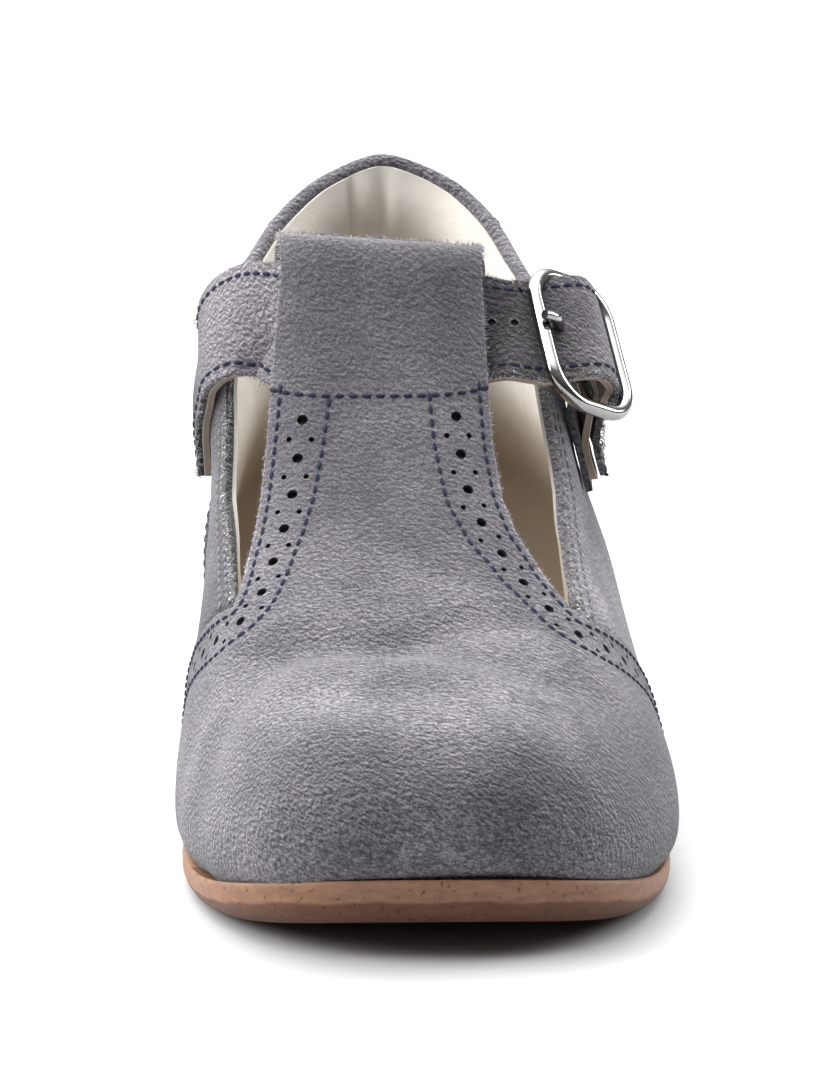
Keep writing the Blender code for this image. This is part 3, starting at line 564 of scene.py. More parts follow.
def crease_lift(points):
    lift = np.zeros(points.shape[:-1])
    for c in VAMP_CREASES:
        aside = points[..., 0] - c.x
        ahead = points[..., 1] - c.slant * aside
        lift += c.depth * bell(aside, 0.0, c.x_reach) * bell(ahead, c.along, c.along_reach)
    return lift


print(len(VAMP_CREASES), "creases, the deepest", min(c.depth for c in VAMP_CREASES), "mm")

# %% The fold of the loop
LOOP_MIDDLE_LEVEL = 10.14
LOOP_START = 6.0
FOLD_PROFILE = table(
    "up depth",
    (6.0, 0.0), (8.6, 0.05), (10.4, 0.7), (11.3, 2.1), (11.5, 3.9), (11.0, 5.9), (9.0, 7.3), (4.0, 7.6),
    (0.0, 7.6), (-4.5, 7.6), (-7.2, 7.35), (-9.0, 6.0), (-10.0, 4.2), (-10.9, 2.75),
)


def smooth_path(points, count):
    """Evenly spaced points on a smooth curve through the given ones."""
    points = np.asarray(points, float)
    gaps = np.sqrt(np.linalg.norm(np.diff(points[:, :3], axis=0), axis=1))
    knots = np.concatenate([[0.0], np.cumsum(gaps)])
    slopes = np.diff(points, axis=0) / gaps[:, None]
    inner = (slopes[:-1] * gaps[1:, None] + slopes[1:] * gaps[:-1, None]) / (gaps[:-1] + gaps[1:])[:, None]
    tangents = np.vstack([slopes[:1], inner, slopes[-1:]])
    place = np.linspace(0, knots[-1], count)
    start = np.clip(np.searchsorted(knots, place) - 1, 0, len(gaps) - 1)
    gap = gaps[start][:, None]
    part = (place - knots[start])[:, None] / gap
    p0, p1 = points[start], points[start + 1]
    m0, m1 = tangents[start] * gap, tangents[start + 1] * gap
    rise = 3 * (p1 - p0) - 2 * m0 - m1
    return p0 + part * (m0 + part * (rise + part * (2 * (p0 - p1) + m0 + m1)))


def spread_evenly(points, count):
    """The same path with its points at equal distances."""
    run = np.concatenate([[0.0], np.cumsum(np.linalg.norm(np.diff(points, axis=0), axis=1))])
    wanted = np.linspace(0, run[-1], count)
    return np.column_stack([np.interp(wanted, run, points[:, k]) for k in range(points.shape[1])])


def loop_axes(turn):
    """Middle of the loop's front wall at a turn, with its directions up and out."""
    above = last_point(turn, LOOP_MIDDLE_LEVEL + 0.1)
    up = unit(above - last_point(turn, LOOP_MIDDLE_LEVEL - 0.1))
    return last_point(turn, LOOP_MIDDLE_LEVEL), up, last_normal(turn, LOOP_MIDDLE_LEVEL)


middle_line = last_point(0.0, LEVELS) - last_point(0.0, LOOP_MIDDLE_LEVEL)
UP_OF_LEVEL = middle_line @ loop_axes(0.0)[1]
FOLD_LEVEL = float(np.interp(LOOP_START, UP_OF_LEVEL, LEVELS))
FOLD_PATH = spread_evenly(smooth_path(FOLD_PROFILE, 200), 81)
print("the fold starts at level", round(FOLD_LEVEL, 2))

# %% Lay the vamp
SUEDE_THICK, SEAM_REACH, SEAM_LIFT, NOTCH_FADE = 1.0, 6.0, 0.35, 0.6
FOLD_SHARE = 0.76
LOOP_LEAN, LOOP_SLOPE, LOOP_RAISE, LOOP_FADE = 0.27, 0.075, 0.45, 0.2


def near_seam(turn, level):
    """1 at the seam between vamp and quarter, fading out round it, and the distance behind the seam."""
    point = last_point(turn, level)
    outside = np.sin(turn) >= 0
    behind = point[..., 1] - np.where(outside, seam_along(1, point[..., 2]), seam_along(-1, point[..., 2]))
    notch = np.where(outside, NOTCH[1][0], NOTCH[-1][0])
    near = np.clip(1 - np.abs(behind) / SEAM_REACH, 0, 1)
    return near * smooth_step(notch - level, -NOTCH_FADE, NOTCH_FADE), behind


def vamp_turn(share, level):
    return share * np.where(share >= 0, *both_edges(VAMP_TURNS, level))


def on_vamp(share, level, lift=0.0):
    turn = vamp_turn(share, level)
    seam, _ = near_seam(turn, level)
    waves = crease_lift(last_point(turn, level))
    return off_last(turn, level, lift + waves + SEAM_LIFT * smooth_step(seam, 0, 1))


def on_fold(share, part, depth=0.0):
    turn = vamp_turn(share, FOLD_LEVEL)
    middle = last_point(turn, LOOP_MIDDLE_LEVEL)
    centre, up, out = loop_axes(0.0)
    rise, back = row_at(FOLD_PATH, part).T
    start = last_point(turn, FOLD_LEVEL) - middle - LOOP_START * up
    fading = 1 - smooth_step(part, 0.0, LOOP_FADE)
    lean = LOOP_LEAN * (middle[..., 1] - centre[1]) + LOOP_SLOPE * (middle[..., 0] - centre[0])
    middle[..., 2] += (1 - fading) * (centre[2] + LOOP_RAISE - lean - middle[..., 2])
    return middle + rise[..., None] * up - (back + depth)[..., None] * out + fading[..., None] * start


def vamp_level(up):
    return np.minimum(up / FOLD_SHARE, 1.0) * FOLD_LEVEL


def fold_part(up):
    return (up - FOLD_SHARE) / (1 - FOLD_SHARE)


def place_vamp(across, up):
    share = 2 * across - 1
    high = on_fold(share, np.clip(fold_part(up), 0, 1))
    return np.where((up <= FOLD_SHARE)[:, None], on_vamp(share, vamp_level(up)), high)


vamp = lay_sheet("vamp", 140, 210, place_vamp)

# %% Painted light and shade on the vamp
# Each mark is painted light or shade: lighter on the top and left of the toe, darker on its front, in the
# trough above it, on the T-bar and on the loop.
LIGHT_AND_SHADE_MARKS = table(
    "share level share_reach level_reach tone",
    (0.25, 2.9, 0.42, 0.95, -0.40), (0.62, 2.2, 0.25, 1.20, -0.14), (-0.55, 2.0, 0.25, 1.00, 0.12),
    (-0.05, 4.6, 0.50, 0.50, 0.15), (-0.45, 5.75, 0.28, 0.32, -0.22), (0.14, 6.1, 0.22, 0.28, -0.16),
    (-0.12, 5.85, 0.12, 0.20, 0.10), (0.50, 5.4, 0.22, 0.40, 0.10), (0.0, 7.8, 1.0, 1.2, -0.22),
    (0.0, 10.4, 1.2, 1.3, -0.20),
)

EDGE_TONE, CREST_TONE, CREST_REACH, FLAT_SHARE = 0.8, 0.5, 0.025, 0.5
FOLD_CREST = np.argmax(FOLD_PATH[:, 0]) / (len(FOLD_PATH) - 1.0) - 0.03


# Painted light and shade for the vamp: the marks above, with the T-bar's cut edges and the crest of the fold
# painted lighter.
def vamp_tone(across, up):
    share, level = 2 * across - 1, vamp_level(up)
    edge = EDGE_TONE * smooth_step(np.abs(share), 0.97, 1.0) * smooth_step(level, 5.5, 7.0)
    tone = edge + CREST_TONE * bell(fold_part(up), FOLD_CREST, CREST_REACH)
    for m in LIGHT_AND_SHADE_MARKS:
        tone += m.tone * bell(share, m.share, m.share_reach) * bell(level, m.level, m.level_reach)
    return tone


store_tone(vamp, vamp_tone)
store_tone(vamp, lambda across, up: FLAT_SHARE * smooth_step(vamp_level(up), 6.6, 8.6), "flat")
give_thickness(vamp, SUEDE_THICK)

# %% [markdown]
# ## The quarters
# The back half is a second sheet that starts under the vamp's seam and runs round the heel up to the
# collar. Its first few millimetres dip under the vamp, as two lapped layers do.

# %% Lay the quarters
COLLAR = table(
    "along z",
    (72.0, 58.2), (80.0, 59.4), (86.0, 58.6), (92.0, 56.8), (99.0, 55.8), (107.0, 56.4), (116.0, 58.2),
    (122.0, 60.5), (128.0, 62.4), (131.0, 62.9),
)
BACK_PEAK, BACK_PEAK_X, BACK_PEAK_HALF, BACK_PEAK_ROUND = 5.6, -1.8, 18.0, 1.6
BACK_PEAK_POWER, BACK_PEAK_START, BACK_PEAK_END = 1.2, 105.0, 122.0
SEAM_DIP = 0.72
INNER_SWELLS = table(
    "along z along_reach z_reach lift", (83.0, 50.0, 8.0, 7.0, 1.5), (105.0, 58.0, 10.0, 8.0, 1.5)
)


def rear_turn(across, level):
    return round_heel(REAR_TURNS, across, level)


def collar_height(points):
    line = read_off(COLLAR, "along", points[..., 1], "z")
    aside = np.hypot(points[..., 0] - BACK_PEAK_X, BACK_PEAK_ROUND) - BACK_PEAK_ROUND
    nearness = np.clip(1 - aside / BACK_PEAK_HALF, 0, 1)
    at_back = smooth_step(points[..., 1], BACK_PEAK_START, BACK_PEAK_END)
    return line + BACK_PEAK * nearness**BACK_PEAK_POWER * at_back


def level_at_collar(turn_at, low, count):
    """The level where the line of turns turn_at(levels) meets the collar."""
    levels = np.linspace(low, TOP_LEVEL, count)
    points = last_point(turn_at(levels), levels)
    return float(np.interp(0.0, points[:, 2] - collar_height(points), levels))


collar_marks = np.linspace(0, 1, 161)
COLLAR_LEVELS = [level_at_collar(lambda levels: rear_turn(mark, levels), 6.5, 400) for mark in collar_marks]


def collar_level(across):
    return np.interp(across, collar_marks, COLLAR_LEVELS)


def inner_swell(points):
    """How far the inner quarter stands out where the strap and the foot pull at it."""
    along, z = points[..., 1], points[..., 2]
    lift = sum(s.lift * bell(along, s.along, s.along_reach) * bell(z, s.z, s.z_reach) for s in INNER_SWELLS)
    return lift * smooth_step(-points[..., 0], 2.0, 12.0)


def on_quarter(across, level, lift=0.0):
    turn = rear_turn(across, level)
    seam, behind = near_seam(turn, level)
    dip = SEAM_DIP * smooth_step(-behind, -3.0, -0.2) * (seam > 0)
    return off_last(turn, level, lift - dip + inner_swell(last_point(turn, level)))


quarters = lay_sheet("quarters", 190, 90, lambda across, up: on_quarter(across, up * collar_level(across)))
# Painted light and shade: the outer quarter lighter near its front edge, which faces a side light, the inner
# one darker at its front edge.
store_tone(quarters, lambda across, up: 0.7 * bell(across, 0.0, 0.12) - 0.42 * bell(across, 1.0, 0.1))
give_thickness(quarters, SUEDE_THICK)

# %% [markdown]
# ## The lining
# Inside the suede is a thin ivory lining. Its two sheets follow the vamp and the quarters a millimetre
# further in. The side against the suede is near black, painted shade so that a punched hole looks deep, and
# at the collar the lining is soft and slightly padded. Low in the shoe the ivory turns darker and browner,
# painted shade where little light reaches.

# %% Lay the lining
LINING_THICK, LINING_FOOT, LINING_DEPTH = 0.55, 0.25, 1.06
LAP_END, LAP_END_FADE = 5.3, 6.6
VAMP_LINING_SHARE, LOOP_DROP, COLLAR_DROP, REAR_TRIM = 0.985, 0.95, 0.13, 0.006
PAD_THICK, PAD_HEIGHT, PAD_REACH = 1.1, 0.86, 0.13
LINING_SEAMS = table("across reach depth", (0.535, 0.010, 0.80), (0.500, 0.006, 0.75))


def lining_depth(level):
    return -LINING_DEPTH - SEAM_DIP * (1 - smooth_step(level, LAP_END, LAP_END_FADE))


def place_vamp_lining(across, up):
    level = LINING_FOOT + up * (LOOP_MIDDLE_LEVEL - LOOP_DROP - LINING_FOOT)
    return on_vamp((2 * across - 1) * VAMP_LINING_SHARE, level, lining_depth(level))


def place_quarter_lining(across, up):
    across = REAR_TRIM + across * (1 - 2 * REAR_TRIM)
    level = LINING_FOOT + up * (collar_level(across) - COLLAR_DROP - LINING_FOOT)
    back = smooth_step(np.cos(rear_turn(across, level)), -0.2, -0.9)
    pad = PAD_THICK * bell(up, PAD_HEIGHT, PAD_REACH) * back
    seams = sum(s.depth * bell(across, s.across, s.reach) for s in LINING_SEAMS)
    return on_quarter(across, level, lining_depth(level) - pad * (1 - seams))


for name, place, columns, rows in (
    ("vamp_lining", place_vamp_lining, 80, 90),
    ("quarter_lining", place_quarter_lining, 300, 60),
):
    lining = lay_sheet(name, columns, rows, place)
    lining.data.materials.append(hole_shade_backing)
    lining.data.materials.append(ivory_lining)
    give_thickness(lining, LINING_THICK, material_offset=1, material_offset_rim=1)
    hand_over(lining, None, "sock", "upper")

# %% [markdown]
# ## Rolled collar
# The suede is turned over at the collar, which leaves a soft round edge. A bevelled curve is the simplest
# such roll: it follows the collar line, and is thickest at the back.

# %% Roll the collar
def bend_wire(name, path, radius, closed=False, swell=None, sides=4):
    """A round wire along a path, made as a bevelled curve and turned into a mesh."""
    guide = bpy.data.curves.new(name, "CURVE")
    guide.dimensions = "3D"
    guide.bevel_depth = radius * MM
    guide.bevel_resolution = sides
    guide.use_fill_caps = not closed
    line = guide.splines.new("POLY")
    line.points.add(len(path) - 1)
    line.points.foreach_set("co", np.column_stack([world(path), np.ones(len(path))]).ravel())
    if swell is not None:
        line.points.foreach_set("radius", np.asarray(swell, float))
    line.use_cyclic_u = closed
    wire = bpy.data.objects.new(name, guide)
    bpy.context.scene.collection.objects.link(wire)
    select_only(wire)
    bpy.ops.object.convert(target="MESH")
    wire = bpy.context.object
    close_seams(wire)
    return wire


ROLL_WIRE, ROLL_DROP, ROLL_DEPTH = 0.80, 0.06, 0.55
roll_across = np.linspace(0.004, 0.996, 220)
roll_level = collar_level(roll_across)
roll_path = on_quarter(roll_across, roll_level - ROLL_DROP, -ROLL_DEPTH)
roll_swell = 0.85 + 0.45 * smooth_step(np.cos(rear_turn(roll_across, roll_level)), 0.0, -1.0)
collar_roll = bend_wire("collar_roll", roll_path, ROLL_WIRE, swell=roll_swell)
hand_over(collar_roll, grey_suede, "suede", "upper")

# %% [markdown]
# ## Counter and back tab
# Round the heel lies a second layer: a counter with sloping front edges, and above it a soft panel that
# reaches the collar. Both are sheets laid a little off the quarters, thick enough to show a cut edge.

# %% Lay the counter and the back tab
COUNTER_EDGE = table(
    "z along",
    (8.0, 98.0), (12.0, 101.0), (28.0, 113.0), (47.5, 126.5), (60.0, 132.0),
)
COUNTER_TOP, TAB_HALF_TOP, TAB_HALF_FOOT = 47.5, 14.4, 13.2
OVERLAY_THICK, OVERLAY_FACE, COUNTER_FOOT_LEVEL = 0.95, 1.05, 0.2
TAB_THICK, TAB_FACE, TAB_TOP_DIP = 0.9, 0.95, 0.55
BACK_HEIGHTS = last_point(math.pi, LEVELS)[:, 2]
COUNTER_TURNS = {side: edge_turns(COUNTER_EDGE, side, "along") for side in SIDES}
COUNTER_TOP_LEVEL, TAB_FOOT_LEVEL = np.interp((COUNTER_TOP, COUNTER_TOP + 0.1), BACK_HEIGHTS, LEVELS)


def on_counter(across, level):
    return off_last(round_heel(COUNTER_TURNS, across, level), level, OVERLAY_FACE)


def place_counter(across, up):
    return on_counter(across, COUNTER_FOOT_LEVEL + up * (COUNTER_TOP_LEVEL - COUNTER_FOOT_LEVEL))


counter = lay_sheet("counter", 120, 70, place_counter)
give_thickness(counter, OVERLAY_THICK)


def tab_turn(share, level):
    """share from -1 to 1 across the tab, whose sides lean out a little towards the collar."""
    wide = TAB_HALF_FOOT + (TAB_HALF_TOP - TAB_HALF_FOOT) * smooth_step(level, 7.9, 10.0)
    reach = turn_where(level, 1, lambda p: wide - p[..., 0] + heel_swing(p[..., 1]), low=math.pi / 2)
    return math.pi - share * (math.pi - reach)


tab_marks = np.linspace(-1, 1, 41)
TAB_TOPS = [
    level_at_collar(lambda levels: tab_turn(mark, levels), TAB_FOOT_LEVEL, 300) - 0.02 for mark in tab_marks
]


def place_tab(across, up):
    share = 1 - 2 * across
    level = TAB_FOOT_LEVEL + up * (np.interp(share, tab_marks, TAB_TOPS) - TAB_FOOT_LEVEL)
    return off_last(tab_turn(share, level), level, TAB_FACE - TAB_TOP_DIP * smooth_step(up, 0.9, 1.0))


back_tab = lay_sheet("back_tab", 70, 40, place_tab)
give_thickness(back_tab, TAB_THICK)
print("counter up to level", round(COUNTER_TOP_LEVEL, 2), "and tab from", round(TAB_FOOT_LEVEL, 2))

# %% [markdown]
# ## Strap and buckle tab
# The strap is two layers with a pale cut edge between them: suede outside, lining inside. It is sewn to the
# inner quarter, runs through the loop and the buckle, and its end hangs on the outer quarter. Each layer is
# a sheet along one path, a little further out or in. The buckle tab is a thinner strip folded round the bar.

# %% The strap's path
SIDE_ROW, RUN_ROW = "along z lift", "run out"
STRAP_SEWN = table(SIDE_ROW, (89.2, 41.4, 1.3), (88.0, 44.3, 1.35), (86.4, 47.6, 1.8))
STRAP_ARCH = np.array(((-24.8, 84.0, 51.6), (-24.4, 81.6, 55.4), (-22.5, 79.2, 58.3), (-19.4, 77.0, 60.0)))
STRAP_IN_LOOP = table("turn lift", (-37.0, -4.6), (-24.0, -4.1), (0.0, -3.9), (12.0, -4.0), (22.0, -4.7))
STRAP_END = table(SIDE_ROW, (85.2, 47.4, 3.8), (87.2, 42.1, 2.5), (88.6, 37.3, 2.35))
CHAPE_FOOT = table(SIDE_ROW, (84.0, 37.5, 0.8), (83.6, 43.0, 0.8), (82.8, 48.0, 0.9))
BUCKLE_MIDDLE = np.array((21.0, 76.5, 57.9))
BUCKLE_RUN, BUCKLE_ASIDE = np.array((0.70, 0.53, -0.475)), np.array((-0.20, 0.65, 0.73))
STRAP_IN_BUCKLE = table(
    RUN_ROW,
    (-7.9, -2.65), (-6.0, -2.35), (-4.0, -0.75), (-1.9, 1.05), (0.0, 1.85),
    (1.9, 1.4), (3.7, 0.45), (5.5, -1.7), (7.2, -2.75), (9.2, -3.5),
)
CHAPE_IN_BUCKLE = table(
    RUN_ROW,
    (5.4, -5.2), (3.2, -4.0), (1.2, -2.95), (0.0, -2.5), (-0.92, -2.12),
    (-1.3, -1.2), (-0.92, -0.28), (0.0, 0.1), (0.92, -0.28), (1.3, -1.0),
)
aside_axis = unit(BUCKLE_ASIDE)
run_axis = unit(BUCKLE_RUN - BUCKLE_RUN @ aside_axis * aside_axis)
out_axis = np.cross(run_axis, aside_axis)


def on_side(side, points):
    turns, levels = [], []
    for point in points:
        turn = turn_where(LEVELS, side, lambda p: p[..., 1] - point.along)
        levels.append(np.interp(point.z, last_point(side * turn, LEVELS)[:, 2], LEVELS))
        turns.append(side * np.interp(levels[-1], LEVELS, turn))
    turns, levels = np.array(turns), np.array(levels)
    return off_last(turns, levels, column(points, "lift")), last_normal(turns, levels)


def in_buckle(points):
    return np.array([BUCKLE_MIDDLE + p.run * run_axis + p.out * out_axis for p in points])


def buckle_normals(points):
    slope = unit(np.gradient(np.array(points, float), axis=0))
    return np.array([-s[1] * run_axis + s[0] * out_axis for s in slope])


def length_of(line):
    return np.linalg.norm(np.diff(line, axis=0), axis=1).sum()


sewn, sewn_out = on_side(-1, STRAP_SEWN)
end, end_out = on_side(1, STRAP_END)
loop_turns = np.radians(column(STRAP_IN_LOOP, "turn"))
loop = off_last(loop_turns, LOOP_MIDDLE_LEVEL, column(STRAP_IN_LOOP, "lift"))
loop_out = last_normal(loop_turns, LOOP_MIDDLE_LEVEL)
turning = np.linspace(0, 1, len(STRAP_ARCH) + 2)[1:-1, None]
arch_out = unit(sewn_out[-1] + turning * (loop_out[0] - sewn_out[-1]))
strap_middles = np.vstack([sewn, STRAP_ARCH, loop, in_buckle(STRAP_IN_BUCKLE), end])
strap_outs = np.vstack([sewn_out, arch_out, loop_out, buckle_normals(STRAP_IN_BUCKLE), end_out])
strap_run = spread_evenly(smooth_path(np.hstack([strap_middles, strap_outs]), 600), 400)
strap_length = length_of(strap_run[:, :3])
print("strap", round(strap_length, 1), "mm long")

# %% Lay the strap and the buckle tab
STRAP_WIDTH, CHAPE_WIDTH = 14.0, 11.0
# Painted light and shade along the strap, from its sewn end to its free end: darker at the sewn tail, lighter
# where it turns up towards the light, darker between the loop and the buckle and a little darker at its free
# end.
STRAP_SHADING_UP = (0.00, 0.09, 0.15, 0.22, 0.30, 0.45, 0.52, 0.60, 0.66, 0.72, 0.85, 0.92, 1.00)
STRAP_SHADING_TONE = (-0.50, -0.50, -0.10, 0.50, 0.60, 0.00, -0.45, -0.58, -0.40, 0.00, -0.10, -0.18, -0.15)


def soften(rows, softness):
    """Evens out the rows of a path over their neighbours."""
    spread = np.exp(-((np.arange(-3 * softness, 3 * softness + 1) / softness) ** 2))
    padded = np.pad(rows, ((3 * softness, 3 * softness), (0, 0)), mode="edge")
    return np.column_stack([np.convolve(padded[:, k], spread / spread.sum(), "valid") for k in range(3)])


def strip_frame(run, softness):
    """Middles, directions across and outward directions of a strip, its turning evened out."""
    middles, outs = run[:, :3], soften(run[:, 3:], softness)
    tangents = unit(np.gradient(middles, axis=0))
    outs = unit(outs - (outs * tangents).sum(1, keepdims=True) * tangents)
    return middles, np.cross(outs, tangents), outs


def on_strip(strip, width, share, up, lift):
    middle, across, out = (row_at(part, up) for part in strip)
    half = np.broadcast_to(share * width / 2, up.shape)
    return middle + half[:, None] * across + np.asarray(lift, float)[..., None] * out


def spot_on_last(side, along, z):
    """The turn and level on one side of the last with a given place along and height."""

    def turn_for(level):
        return turn_where(level, side, lambda p: p[..., 1] - along)

    low, high = np.full_like(z, 3.0), np.full_like(z, TOP_LEVEL)
    for _ in range(24):
        level = (low + high) / 2
        under = last_point(side * turn_for(level), level)[..., 2] < z
        low, high = np.where(under, level, low), np.where(under, high, level)
    return side * turn_for(level), level


def hug(points, side, lift, share):
    """Moves the points of a strip onto the last, at a given lift, by a share of 0 to 1."""
    near = share > 0
    turn, level = spot_on_last(side, points[near, 1], points[near, 2])
    points = points.copy()
    points[near] += share[near, None] * (off_last(turn, level, lift[near]) - points[near])
    return points


def strap_narrow(up):
    """The strap's half width, rounded at its free end."""
    left = np.clip((1 - up) * strap_length / 5.0, 0, 1)
    return 0.45 + 0.55 * np.sqrt(np.clip(1 - (1 - left) ** 2, 0, 1))


STRAP_CROWN, SEWN_FACE, END_FACE, END_TRIM, END_SINK = 0.12, 0.95, 2.3, 0.07, 0.4
CHAPE_FACE, CHAPE_FOOT_FACE, CHAPE_THICK, CHAPE_SHADE = 0.42, 1.2, 0.85, -0.30
strap_strip = strip_frame(strap_run, 6)


def place_strap(lift, trim, sink):
    """One layer of the strap. Towards the free end the inner layers are narrower and lie deeper."""

    def place(across, up):
        share = 1 - 2 * across
        wide = (trim - (1 - lift) * END_TRIM * smooth_step(up, 0.78, 0.84)) * strap_narrow(up)
        rise = lift + (STRAP_CROWN * (1 - share**4) - sink * smooth_step(up, 0.76, 0.82))
        points = on_strip(strap_strip, STRAP_WIDTH, share * wide, up, rise)
        points = hug(points, -1, SEWN_FACE + rise + inner_swell(points), 1 - smooth_step(up, 0.06, 0.18))
        return hug(points, 1, END_FACE + rise, smooth_step(up, 0.86, 0.94))

    return place


strap = lay_sheet("strap", 18, 260, place_strap(0.85, 1.0, 0.0))
# The strap carries painted light and shade.
store_tone(strap, lambda across, up: np.interp(up, STRAP_SHADING_UP, STRAP_SHADING_TONE))
give_thickness(strap, 0.82)
for name, look, lift, thick, trim in (
    ("strap_edge", pale_core, 0.02, 0.14, 0.995),
    ("strap_lining", shaded_strap_lining, -0.13, 0.72, 0.985),
):
    layer = lay_sheet(name, 18, 260, place_strap(lift, trim, END_SINK))
    give_thickness(layer, thick)
    hand_over(layer, look, "suede_strap", "strap")

foot, foot_out = on_side(1, CHAPE_FOOT)
chape_middles = np.vstack([foot, in_buckle(CHAPE_IN_BUCKLE)])
chape_outs = np.vstack([foot_out, -buckle_normals(CHAPE_IN_BUCKLE)])
chape_run = spread_evenly(smooth_path(np.hstack([chape_middles, chape_outs]), 400), 240)
chape_strip = strip_frame(chape_run, 2)


def place_chape(across, up):
    points = on_strip(chape_strip, CHAPE_WIDTH, 1 - 2 * across, up, CHAPE_FACE)
    return hug(points, 1, np.full(up.shape, CHAPE_FOOT_FACE), 1 - smooth_step(up, 0.25, 0.45))


chape = lay_sheet("buckle_tab", 12, 120, place_chape)
# Painted shade: the buckle tab is darkened all over, as it lies under the strap.
store_tone(chape, lambda across, up: np.full(up.shape, CHAPE_SHADE))
give_thickness(chape, CHAPE_THICK)

# %% [markdown]
# ## Buckle
# A wire frame with a centre bar and a bent prong, all polished. Each is a bevelled curve: the frame runs
# round a rectangle with round corners, and the bar dips below the strap.

# %% Bend the buckle
FRAME_HALF_LENGTH, FRAME_HALF_WIDTH, FRAME_CORNER, FRAME_SHIFT = 6.7, 9.1, 4.6, -1.3
FRAME_WIRE, BAR_WIRE, BAR_DROP, PRONG_WIRE = 0.95, 0.6, 1.2, 0.75
PRONG_PATH = table(
    RUN_ROW,
    (1.35, -1.9), (0.6, -2.6), (-0.7, -2.6), (-1.9, -1.7),
    (-3.4, -0.3), (-4.9, 1.1), (-6.5, 1.85), (-8.2, 1.8),
)
frame_middle = BUCKLE_MIDDLE + FRAME_SHIFT * aside_axis
frame_path = []
for k in range(4):
    corner_run = (FRAME_HALF_LENGTH - FRAME_CORNER) * (1 if k in (0, 3) else -1)
    corner_aside = (FRAME_HALF_WIDTH - FRAME_CORNER) * (1 if k in (0, 1) else -1)
    for q in np.linspace(math.pi / 2 * k, math.pi / 2 * (k + 1), 14):
        along_run = corner_run + FRAME_CORNER * math.cos(q)
        along_aside = corner_aside + FRAME_CORNER * math.sin(q)
        frame_path.append(frame_middle + along_run * run_axis + along_aside * aside_axis)
buckle_frame = bend_wire("buckle_frame", np.array(frame_path), FRAME_WIRE, closed=True, sides=6)
hand_over(buckle_frame, silver, "silver", "buckle_frame")

bar_reach = np.array([-1.0, -0.72, 0.0, 0.72, 1.0]) * (FRAME_HALF_WIDTH - 0.1)
bar_drop = np.array([0.15, 1.0, 1.0, 1.0, 0.15]) * BAR_DROP
bar_path = [frame_middle + r * aside_axis - d * out_axis for r, d in zip(bar_reach, bar_drop)]
centre_bar = bend_wire("centre_bar", smooth_path(bar_path, 40), BAR_WIRE)
hand_over(centre_bar, silver, "silver", "buckle_frame")
prong_swell = np.interp(np.linspace(0, 1, 60), (0, 0.85, 1), (1.0, 1.0, 0.8))
prong = bend_wire("buckle_prong", smooth_path(in_buckle(PRONG_PATH), 60), PRONG_WIRE, swell=prong_swell)
hand_over(prong, silver, "silver", "buckle_prong")

# %% [markdown]
# ## Sole, heel and sock
# The sole is a flat sheet cut to the outline, with a bevelled lower edge. A sheet wrapped round its profile
# gives it: across goes round the outline, up goes from the middle of the underside, over the edge, to the
# middle of the top. Merging the corners that meet closes it. The heel and the sock are made the same way.

# %% Outline of the sole
def sole_outline(spread, turn):
    """The feather line moved outwards by spread, at turns from -180 to 180 degrees."""
    point, after, before = (last_point(turn + step, 0.0)[..., :2] for step in (0.0, 1e-3, -1e-3))
    heading = unit(after - before)
    out = np.stack([heading[..., 1], -heading[..., 0]], axis=-1)
    return point + np.asarray(spread, float)[..., None] * out


def wrap_plate(name, columns, rows, profile, height):
    """A closed plate: profile(up, turn) gives the share kept of its width and its spread."""

    def place(across, up):
        turn = (2 * across - 1) * math.pi
        keep, spread = profile(up, turn)
        edge = sole_outline(spread, turn)
        return np.column_stack([edge[:, 0] * keep, edge[:, 1], height(edge[:, 1], up)])

    piece = lay_sheet(name, columns, rows, place)
    close_seams(piece, 0.02)
    return piece


print("outline at the ball", np.round(sole_outline(0.0, np.array([1.4])), 1))

# %% Cut the outsole
LIP_RISE, LIP_SPREAD, LIP_LENGTH = 1.25, 0.75, 50.0
OUTSOLE_PROFILE = table(
    "up keep spread rise",
    (0.00, 0.0, -1.2, 0.0), (0.30, 1.0, -1.2, 0.0), (0.36, 1.0, -0.7, 0.05), (0.44, 1.0, 0.15, 0.20),
    (0.52, 1.0, 0.72, 0.42), (0.55, 1.0, 0.82, 0.50), (0.62, 1.0, 0.85, 0.75), (0.67, 1.0, 0.78, 0.92),
    (0.70, 1.0, 0.50, 1.0), (1.00, 0.0, 0.50, 1.0),
)


def edge_column(name, up):
    return read_off(OUTSOLE_PROFILE, "up", up, name)


def toe_lip(up, ahead):
    """1 on the top of the sole's edge at the toe, fading down the edge and towards the waist."""
    return np.interp(up, (0.50, 0.66, 0.70, 0.73), (0.0, 1.0, 1.0, 0.0)) * smooth_step(ahead, 0.25, 0.95)


def outsole_profile(up, turn):
    return edge_column("keep", up), edge_column("spread", up) + LIP_SPREAD * toe_lip(up, np.cos(turn))


def outsole_height(along, up):
    lip = LIP_RISE * toe_lip(up, (LIP_LENGTH - along) / LIP_LENGTH)
    return sole_under(along) + edge_column("rise", up) * (sole_over(along) - sole_under(along)) + lip


outsole = wrap_plate("outsole", 260, 80, outsole_profile, outsole_height)
print("outsole", len(outsole.data.vertices), "corners")

# %% Cut the sock
SOCK_THICK, SOCK_GAP, SOCK_SPREADS = 2.0, 0.3, (-2.4, -1.25)
sock = wrap_plate(
    "insole",
    160,
    40,
    lambda up, turn: (np.interp(up, (0, 0.4, 0.6, 1), (0, 1, 1, 0)), np.interp(up, (0.4, 0.6), SOCK_SPREADS)),
    lambda along, up: sole_over(along) + SOCK_GAP + SOCK_THICK * smooth_step(up, 0.4, 0.56),
)
hand_over(sock, beige_sock, "sock", "insole")

